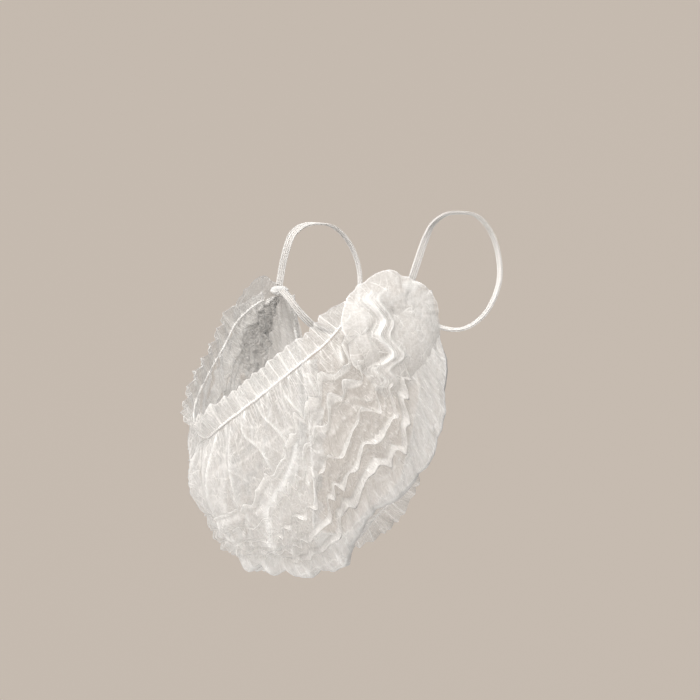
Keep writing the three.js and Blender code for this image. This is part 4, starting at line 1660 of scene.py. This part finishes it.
        crest_folds, crest_lines = self._crest(forward, drop, uneven)
        fan, fanned = self._fan(forward, drop, share, uneven)
        lobe_forward, lobe_drop = forward - self.lobe_middle[0], drop - self.lobe_middle[1]
        lobe = bell(lobe_forward, self.lobe_size[0]) * bell(lobe_drop, self.lobe_size[1])
        puff = self.hood_puff * np.sin(np.pi * np.clip(0.12 + 0.8 * share, 0, 1)) ** 0.8
        crease_x, crease_y = self.crease_size
        creases = uneven.creases(forward / crease_x + 3 + 0.4 * drop / crease_x, drop / crease_y)
        rim_folds = (self.rim_height * rim_wave + self.rim_flutter * flutter) * share**4 * free
        high = puff + self.lobe_height * lobe + self.fan_height * fan * fanned
        high = high + self.crease_height * creases * share + rim_folds
        high = high + crest_folds * (1 - share**4)
        tucked = self.hood_tuck * (1 - free) * share**4
        x = self._side(y, z) + self.hood_clearance + high * (0.4 + 0.6 * (1 - share**5)) - tucked
        grid = np.stack([x, y, z], -1)
        over = np.stack([forward * 1.25, drop * 1.25], -1)
        hem = bell(1 - share, 0.02) * (0.35 + 0.35 * free)
        # The hood's crest mask whitens its rim, crest, fold lines and creases, partly as a painted highlight.
        mask = hem + crest_lines
        mask = mask + 0.4 * np.clip(fan - 0.8, 0, 1) / 0.65 * fanned + 0.35 * past(creases, 0.75) * share
        return Cloth.from_grid(grid, over, crest=mask, ply=0.36 + 0.16 * (1 - share), gathered=0.0)

    def build(self, cloth: bpy.types.Material) -> list[bpy.types.Object]:
        """Makes and dresses both sides' pressed ends and hoods.

        Args:
            cloth: the nonwoven finish.

        Returns:
            The four pieces.
        """
        pieces = []
        for side in ("left", "right"):
            weld, hood = self.weld(), self.hood()
            if side == "right":
                weld, hood = weld.mirrored(), hood.mirrored()
            lozenge = weld.piece(f"pressed_end_{side}")
            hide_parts(f"end_weld_{side}")
            cover = hood.piece(f"end_hood_{side}")
            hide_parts(f"end_frill_{side}")
            for piece in (lozenge, cover):
                piece.data.materials.append(cloth)
                pieces.append(piece)
        return pieces


@dataclass(frozen=True)
class LoopPoint:
    """A point of the ear loop's route: shares back, down and outwards, and how far its flat has turned."""

    back: float
    drop: float
    out: float
    turn: float


@dataclass(frozen=True)
class StrapPath:
    """The strap's line at even steps.

    Attributes:
        even: distances along the strap.
        line: its points.
        tangent: the way it runs.
        across: the way across its width.
        flat: the way its flat faces.
    """

    even: np.ndarray
    line: np.ndarray
    tangent: np.ndarray
    across: np.ndarray
    flat: np.ndarray

    def at(self, starts: np.ndarray, values: np.ndarray) -> np.ndarray:
        """Points or directions of the path at other distances."""
        return np.stack([np.interp(starts, self.even, values[:, k]) for k in range(3)], -1)


@dataclass
class EarLoop:
    """The flat knitted elastic of one side.

    Attributes:
        width, thickness: of the strap, stitches and all.
        out: what the route's outward shares are of.
        rearmost, height: how far back the loop reaches, and how far down its lowest point is.
        stitch, yarn: a stitch's length and its yarn's radius.
        body_width, body_thickness: the strap under its stitches, as shares of its width and thickness.
        body_sides, yarn_sides: how many sides their rings have.
        stitch_columns, slant: where the columns of stitches lie and how far each stitch slants, as shares of
            the width.
        route: the loop's points, from the top of the pressed end round to its inner side.
    """

    width: float = 3.8 * MM
    thickness: float = 1.0 * MM
    out: float = 4.1 * MM
    rearmost: float = 26 * MM
    height: float = 59 * MM
    stitch: float = 0.86 * MM
    yarn: float = 0.27 * MM
    body_width: float = 0.46
    body_thickness: float = 0.33
    body_sides: int = 24
    yarn_sides: int = 6
    stitch_columns: tuple[float, ...] = (-0.41, -0.15, 0.15, 0.41)
    slant: float = 0.19
    route: tuple[LoopPoint, ...] = (
        LoopPoint(0.06, 0.388, 0.46, 0.0),
        LoopPoint(0.117, 0.241, 0.68, 0.1),
        LoopPoint(0.185, 0.116, 0.88, 0.35),
        LoopPoint(0.27, 0.05, 0.98, 0.55),
        LoopPoint(0.367, 0.012, 1.0, 0.75),
        LoopPoint(0.489, 0.0, 1.0, 0.9),
        LoopPoint(0.69, 0.02, 1.0, 1.0),
        LoopPoint(0.864, 0.147, 0.8, 1.0),
        LoopPoint(0.98, 0.37, 0.5, 1.0),
        LoopPoint(0.99, 0.61, 0.3, 1.0),
        LoopPoint(0.85, 0.87, -0.2, 1.0),
        LoopPoint(0.62, 1.0, -0.9, 0.9),
        LoopPoint(0.35, 0.965, -1.8, 0.5),
        LoopPoint(0.155, 0.84, -2.15, 0.1),
        LoopPoint(0.05, 0.72, -1.8, 0.0),
    )

    def _knots(self, end: PressedEnd) -> tuple[np.ndarray, np.ndarray]:
        """Places the route, from the top of the pressed end round to its inner side.

        Args:
            end: the pressed end that holds the loop.

        Returns:
            The route's points, and how far the strap has turned at each.
        """
        centre = end.centre()
        points = [centre + [0, 0, end.height / 2 + end.gap]]
        for row in self.route:
            back = centre[1] + row.back * (self.rearmost - centre[1])
            down = -self.thickness / 2 - row.drop * (self.height - self.thickness)
            points.append(np.array([centre[0] + row.out * self.out, back, down]))
        points.append(centre - [end.thickness / 2 + 2 * end.gap, 0, 0])
        return np.array(points), np.array([0.0, *(row.turn for row in self.route), 0.0])

    def _path(self, end: PressedEnd, count: int) -> StrapPath:
        """The strap's line at even steps.

        Args:
            end: the pressed end that holds the loop.
            count: how many points to give.

        Returns:
            The path.
        """
        knots, turns = self._knots(end)
        before = np.concatenate([[2 * knots[0] - knots[1]], knots[:-1]])
        after = np.concatenate([knots[2:], [2 * knots[-1] - knots[-2]]])
        points, turned = [], []
        for i in range(len(knots) - 1):
            p0, p1, p2, p3 = before[i], knots[i], knots[i + 1], after[i]
            d0, d1, d2 = (
                math.sqrt(max(np.linalg.norm(b - a), 1e-9)) for a, b in ((p0, p1), (p1, p2), (p2, p3))
            )
            m1 = ((p1 - p0) / d0 - (p2 - p0) / (d0 + d1) + (p2 - p1) / d1) * d1
            m2 = ((p2 - p1) / d1 - (p3 - p1) / (d1 + d2) + (p3 - p2) / d2) * d1
            for t in np.linspace(0, 1, 30, endpoint=False):
                hermite = (2 * t**3 - 3 * t**2 + 1, t**3 - 2 * t**2 + t, 3 * t**2 - 2 * t**3, t**3 - t**2)
                points.append(hermite[0] * p1 + hermite[1] * m1 + hermite[2] * p2 + hermite[3] * m2)
                turned.append(turns[i] + (turns[i + 1] - turns[i]) * t)
        points, turned = np.array(points + [knots[-1]]), np.array(turned + [turns[-1]])
        length = distances(points)
        even = np.linspace(0, length[-1], count)
        line = np.stack([np.interp(even, length, points[:, k]) for k in range(3)], -1)
        turn = np.interp(even, length, turned) * np.pi / 2
        tangent = unit(np.gradient(line, axis=0))
        sideways = np.array([1.0, 0, 0])
        lateral = unit(sideways - tangent * tangent[:, :1])
        away = -np.cross(lateral, tangent)
        flat = unit(lateral * np.cos(turn)[:, None] + away * np.sin(turn)[:, None])
        return StrapPath(even, line, tangent, np.cross(tangent, flat), flat)

    def strap(self, end: PressedEnd) -> Cloth:
        """Knits the strap: its body and the chains of stitches on both of its faces.

        Args:
            end: the pressed end that holds the loop.

        Returns:
            Its surface.
        """
        path = self._path(end, 420)
        angles = ring_angles(self.body_sides)
        tooth = 1 + 0.05 * np.sin(2 * np.pi * path.even / self.stitch)
        body = []
        for angle in angles:
            wide = np.sign(np.cos(angle)) * abs(np.cos(angle)) ** 0.5
            sideways = wide * self.width * self.body_width * tooth
            lift = np.sin(angle) * self.thickness * self.body_thickness * (1 - 0.3 * bell(wide, 0.14))
            body.append(path.line + path.across * sideways[:, None] + path.flat * lift)
        over = np.stack(np.broadcast_arrays(path.even[:, None], (angles * self.width / 3)[None, :]), -1)
        # The strap's body under the stitches gets painted shade.
        strap = Cloth.from_grid(np.stack(body, 1), over, closed=True, hollow=0.75)
        starts = (np.arange(int(path.even[-1] / self.stitch)) + 0.5) * self.stitch
        for face in (1, -1):
            for number, place in enumerate(self.stitch_columns):
                slant = self.slant if number % 2 == 0 else -self.slant
                strap = strap.joined(self._stitches(path, starts, place, slant, face))
        return strap

    def _stitches(self, path: StrapPath, starts: np.ndarray, place: float, slant: float, face: int) -> Cloth:
        """Knits one column of slanted stitches.

        Args:
            path: the strap's path.
            starts: the distance along the strap of each stitch.
            place: the column's place across, as a share of the width.
            slant: how far a stitch slants, as a share of the width.
            face: 1 for the outer face and -1 for the inner one.

        Returns:
            The column, each stitch a short fat yarn that dips at both ends.
        """
        shares = np.array([-1.0, -0.72, -0.3, 0.3, 0.72, 1.0])
        fat = np.array([0.25, 0.8, 1.0, 1.0, 0.8, 0.25])
        angles = ring_angles(self.yarn_sides)
        centre, ahead = path.at(starts, path.line), unit(path.at(starts, path.tangent))
        side, up = unit(path.at(starts, path.across)), unit(path.at(starts, path.flat))
        parts = []
        for share, size in zip(shares, fat):
            forward = share * 0.62 * self.stitch
            sideways = (place + slant * 0.5 * share) * self.width
            lift = face * self.thickness * (0.36 - 0.12 * share * share)
            middle = centre + ahead * forward + side * sideways + up * lift
            radius = self.yarn * size
            ring = [
                middle + side * (math.cos(a) * radius * 1.25) + up * (math.sin(a) * radius) for a in angles
            ]
            parts.append(np.stack(ring, 1))
        block = np.stack(parts, 1)
        stitches, rings, sides = block.shape[:3]
        numbers = np.arange(stitches * rings * sides).reshape(stitches, rings, sides)
        turned = np.roll(numbers, -1, axis=2)
        faces = np.stack([numbers[:, :-1], numbers[:, 1:], turned[:, 1:], turned[:, :-1]], -1).reshape(-1, 4)
        caps = numbers[:, [0, -1]]
        caps = np.concatenate(
            [caps[..., [0, 1, 2, 3]].reshape(-1, 4), caps[..., [0, 3, 4, 5]].reshape(-1, 4)]
        )
        ahead_over = starts[:, None, None] + shares[None, :, None] * self.stitch / 2
        across_over = place * self.width + angles[None, None, :] * self.yarn
        over = np.stack(np.broadcast_arrays(ahead_over, across_over), -1)
        points = block.reshape(-1, 3)
        return Cloth(
            points,
            np.concatenate([faces, caps]),
            over.reshape(-1, 2),
            {"hollow": np.zeros(len(points))},
        )

    def build(self, end: PressedEnd, elastic: bpy.types.Material) -> list[bpy.types.Object]:
        """Makes and dresses both ear loops.

        Args:
            end: the left pressed end.
            elastic: the knitted finish.

        Returns:
            The two pieces.
        """
        strap = self.strap(end)
        pieces = []
        for side, surface in (("left", strap), ("right", strap.mirrored())):
            piece = surface.piece(f"knitted_loop_{side}")
            piece.data.materials.append(elastic)
            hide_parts(f"ear_loop_{side}")
            pieces.append(piece)
        return pieces


# The studio


@dataclass(frozen=True)
class Lamp:
    """A soft square lamp that faces the net.

    Attributes:
        name: the lamp's name.
        turn: how far round from the camera it stands.
        rise: its height, as an angle.
        size: its side.
        power: in watts.
        colour: of its light.
    """

    name: str
    turn: float
    rise: float
    size: float
    power: float
    colour: tuple[float, float, float]


@dataclass
class Studio:
    """A pale floor that curves up into a wall all round, soft light, and the camera.

    Attributes:
        backdrop, backdrop_glow: the room's colour and how much it shines by itself.
        floor_drop, wall, wall_top, bend: the room's floor, the distance and height of its wall, and the curve
            between them.
        sky, sky_strength: the light from all round.
        lamps, lamp_distance, lamp_aim: the lamps, how far away they stand and what they face.
        distance, azimuth: of the camera.
        pixels, scale: the photograph's side, and its pixels for a metre at scale_depth before the origin.
        origin_column, origin_row: where the origin is in it.
        sensor: the camera's, in millimetres.
    """

    backdrop: tuple[float, float, float, float] = (0.61, 0.54, 0.475, 1)
    backdrop_glow: float = 0.55
    floor_drop: float = 0.95
    wall: float = 3.4
    wall_top: float = 4.0
    bend: float = 1.2
    sky: tuple[float, float, float, float] = (1.0, 0.985, 0.965, 1)
    sky_strength: float = 0.22
    lamps: tuple[Lamp, ...] = (
        Lamp("key", -5, 52, 0.5, 17.0, (1.0, 0.985, 0.96)),
        Lamp("front", -70, 12, 0.8, 8.0, (1.0, 0.98, 0.96)),
        Lamp("fill", 40, 5, 0.9, 3.0, (1.0, 0.97, 0.94)),
        Lamp("bounce", -30, -45, 1.0, 9.5, (1.0, 0.96, 0.92)),
        Lamp("back", 160, 40, 0.8, 5.0, (1.0, 0.99, 0.98)),
    )
    lamp_distance: float = 1.3
    lamp_aim: tuple[float, float, float] = (0.0, -0.05, -0.11)
    distance: float = 1.5
    azimuth: float = 60.0
    pixels: int = 700
    scale: float = 2000.0
    scale_depth: float = 0.06
    origin_column: float = 386.0
    origin_row: float = 212.0
    sensor: float = 36.0

    def _room(self) -> None:
        """Makes the floor and the wall in one surface."""
        turn = np.linspace(0, 2 * np.pi, 97)[:, None]
        angles = np.linspace(0, np.pi / 2, 14)[1:]
        flat = np.linspace(0.01, self.wall - self.bend, 5)
        radius = np.concatenate([flat, flat[-1] + self.bend * np.sin(angles), [self.wall]])
        rise = np.concatenate([np.zeros(5), self.bend * (1 - np.cos(angles)), [self.wall_top]])
        grid = np.stack(
            np.broadcast_arrays(np.cos(turn) * radius, np.sin(turn) * radius, rise - self.floor_drop),
            -1,
        )
        room = Cloth.from_grid(grid, grid[..., :2]).piece("backdrop")
        material = bpy.data.materials.new("backdrop")
        material.use_nodes = True
        paint = material.node_tree.nodes["Principled BSDF"]
        paint.inputs["Base Color"].default_value = self.backdrop
        paint.inputs["Roughness"].default_value = 0.95
        paint.inputs["Emission Color"].default_value = self.backdrop
        paint.inputs["Emission Strength"].default_value = self.backdrop_glow
        room.data.materials.append(material)
        room.visible_diffuse = room.visible_glossy = room.visible_shadow = room.visible_transmission = False

    def _hang(self, lamp: Lamp) -> None:
        """Puts a lamp into the scene.

        Args:
            lamp: which one.
        """
        data = bpy.data.lights.new(lamp.name, "AREA")
        data.shape, data.size, data.energy, data.color = "SQUARE", lamp.size, lamp.power, lamp.colour
        light = bpy.data.objects.new(lamp.name, data)
        bpy.context.scene.collection.objects.link(light)
        turn, rise = math.radians(self.azimuth + lamp.turn), math.radians(lamp.rise)
        direction = Vector(
            (math.sin(turn) * math.cos(rise), -math.cos(turn) * math.cos(rise), math.sin(rise))
        )
        light.location = Vector(self.lamp_aim) + self.lamp_distance * direction
        light.rotation_euler = direction.to_track_quat("Z", "Y").to_euler()

    def _camera(self) -> None:
        """Adds the camera at the photograph's angle and framing."""
        data = bpy.data.cameras.new("camera")
        camera = bpy.data.objects.new("camera", data)
        bpy.context.scene.collection.objects.link(camera)
        turn = math.radians(self.azimuth)
        direction = Vector((math.sin(turn), -math.cos(turn), 0))
        right = Vector((math.cos(turn), math.sin(turn), 0))
        middle = self.pixels / 2
        aim = right * (middle - self.origin_column) + Vector((0, 0, self.origin_row - middle))
        camera.location = aim / self.scale + direction * self.distance
        camera.rotation_euler = direction.to_track_quat("Z", "Y").to_euler()
        data.sensor_width = self.sensor
        data.lens = self.scale * self.sensor * (self.distance - self.scale_depth) / self.pixels
        data.clip_end = 50.0
        bpy.context.scene.camera = camera

    def build(self) -> None:
        """Makes the room, the light and the camera."""
        scene = bpy.context.scene
        world = bpy.data.worlds.new("studio")
        world.use_nodes = True
        sky = world.node_tree.nodes["Background"]
        sky.inputs["Color"].default_value = self.sky
        sky.inputs["Strength"].default_value = self.sky_strength
        scene.world = world
        scene.view_settings.view_transform = "Standard"
        scene.cycles.transparent_max_bounces = 32
        self._room()
        for lamp in self.lamps:
            self._hang(lamp)
        self._camera()


def main() -> None:
    """Builds the net and the studio in order."""
    groups = {"fibre_web": fibre_web(), "crumple_lines": crumple_lines(), "cloth_tone": cloth_tone()}
    cloth = NonwovenFinish().made(groups)
    loose_cloth = NonwovenFinish("nonwoven_ruffle", thin_cover=0.12, thick_cover=0.34).made(groups)
    thread = ElasticFinish("edge_elastic").made(groups)
    knit = ElasticFinish("knitted_elastic", yarn_size=0.25 * MM).made(groups)
    end = PressedEnd()
    pieces = [Pouch().build(cloth)]
    pieces += GatheredEdge(Edge.UPPER, 10.6 * MM, 0.97, 41).build(loose_cloth, thread)
    pieces += GatheredEdge(Edge.LOWER, 9.0 * MM, 0.9, 43).build(loose_cloth, thread)
    pieces += end.build(cloth)
    pieces += EarLoop().build(end, knit)
    for piece in pieces:
        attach(piece, "root")
        LOG.info("%s: %d faces, %.4f square metres", piece.name, len(piece.data.polygons), area_of(piece))
    Studio().build()


if __name__ == "__main__":
    logging.basicConfig(level=logging.INFO, format="%(message)s")
    main()
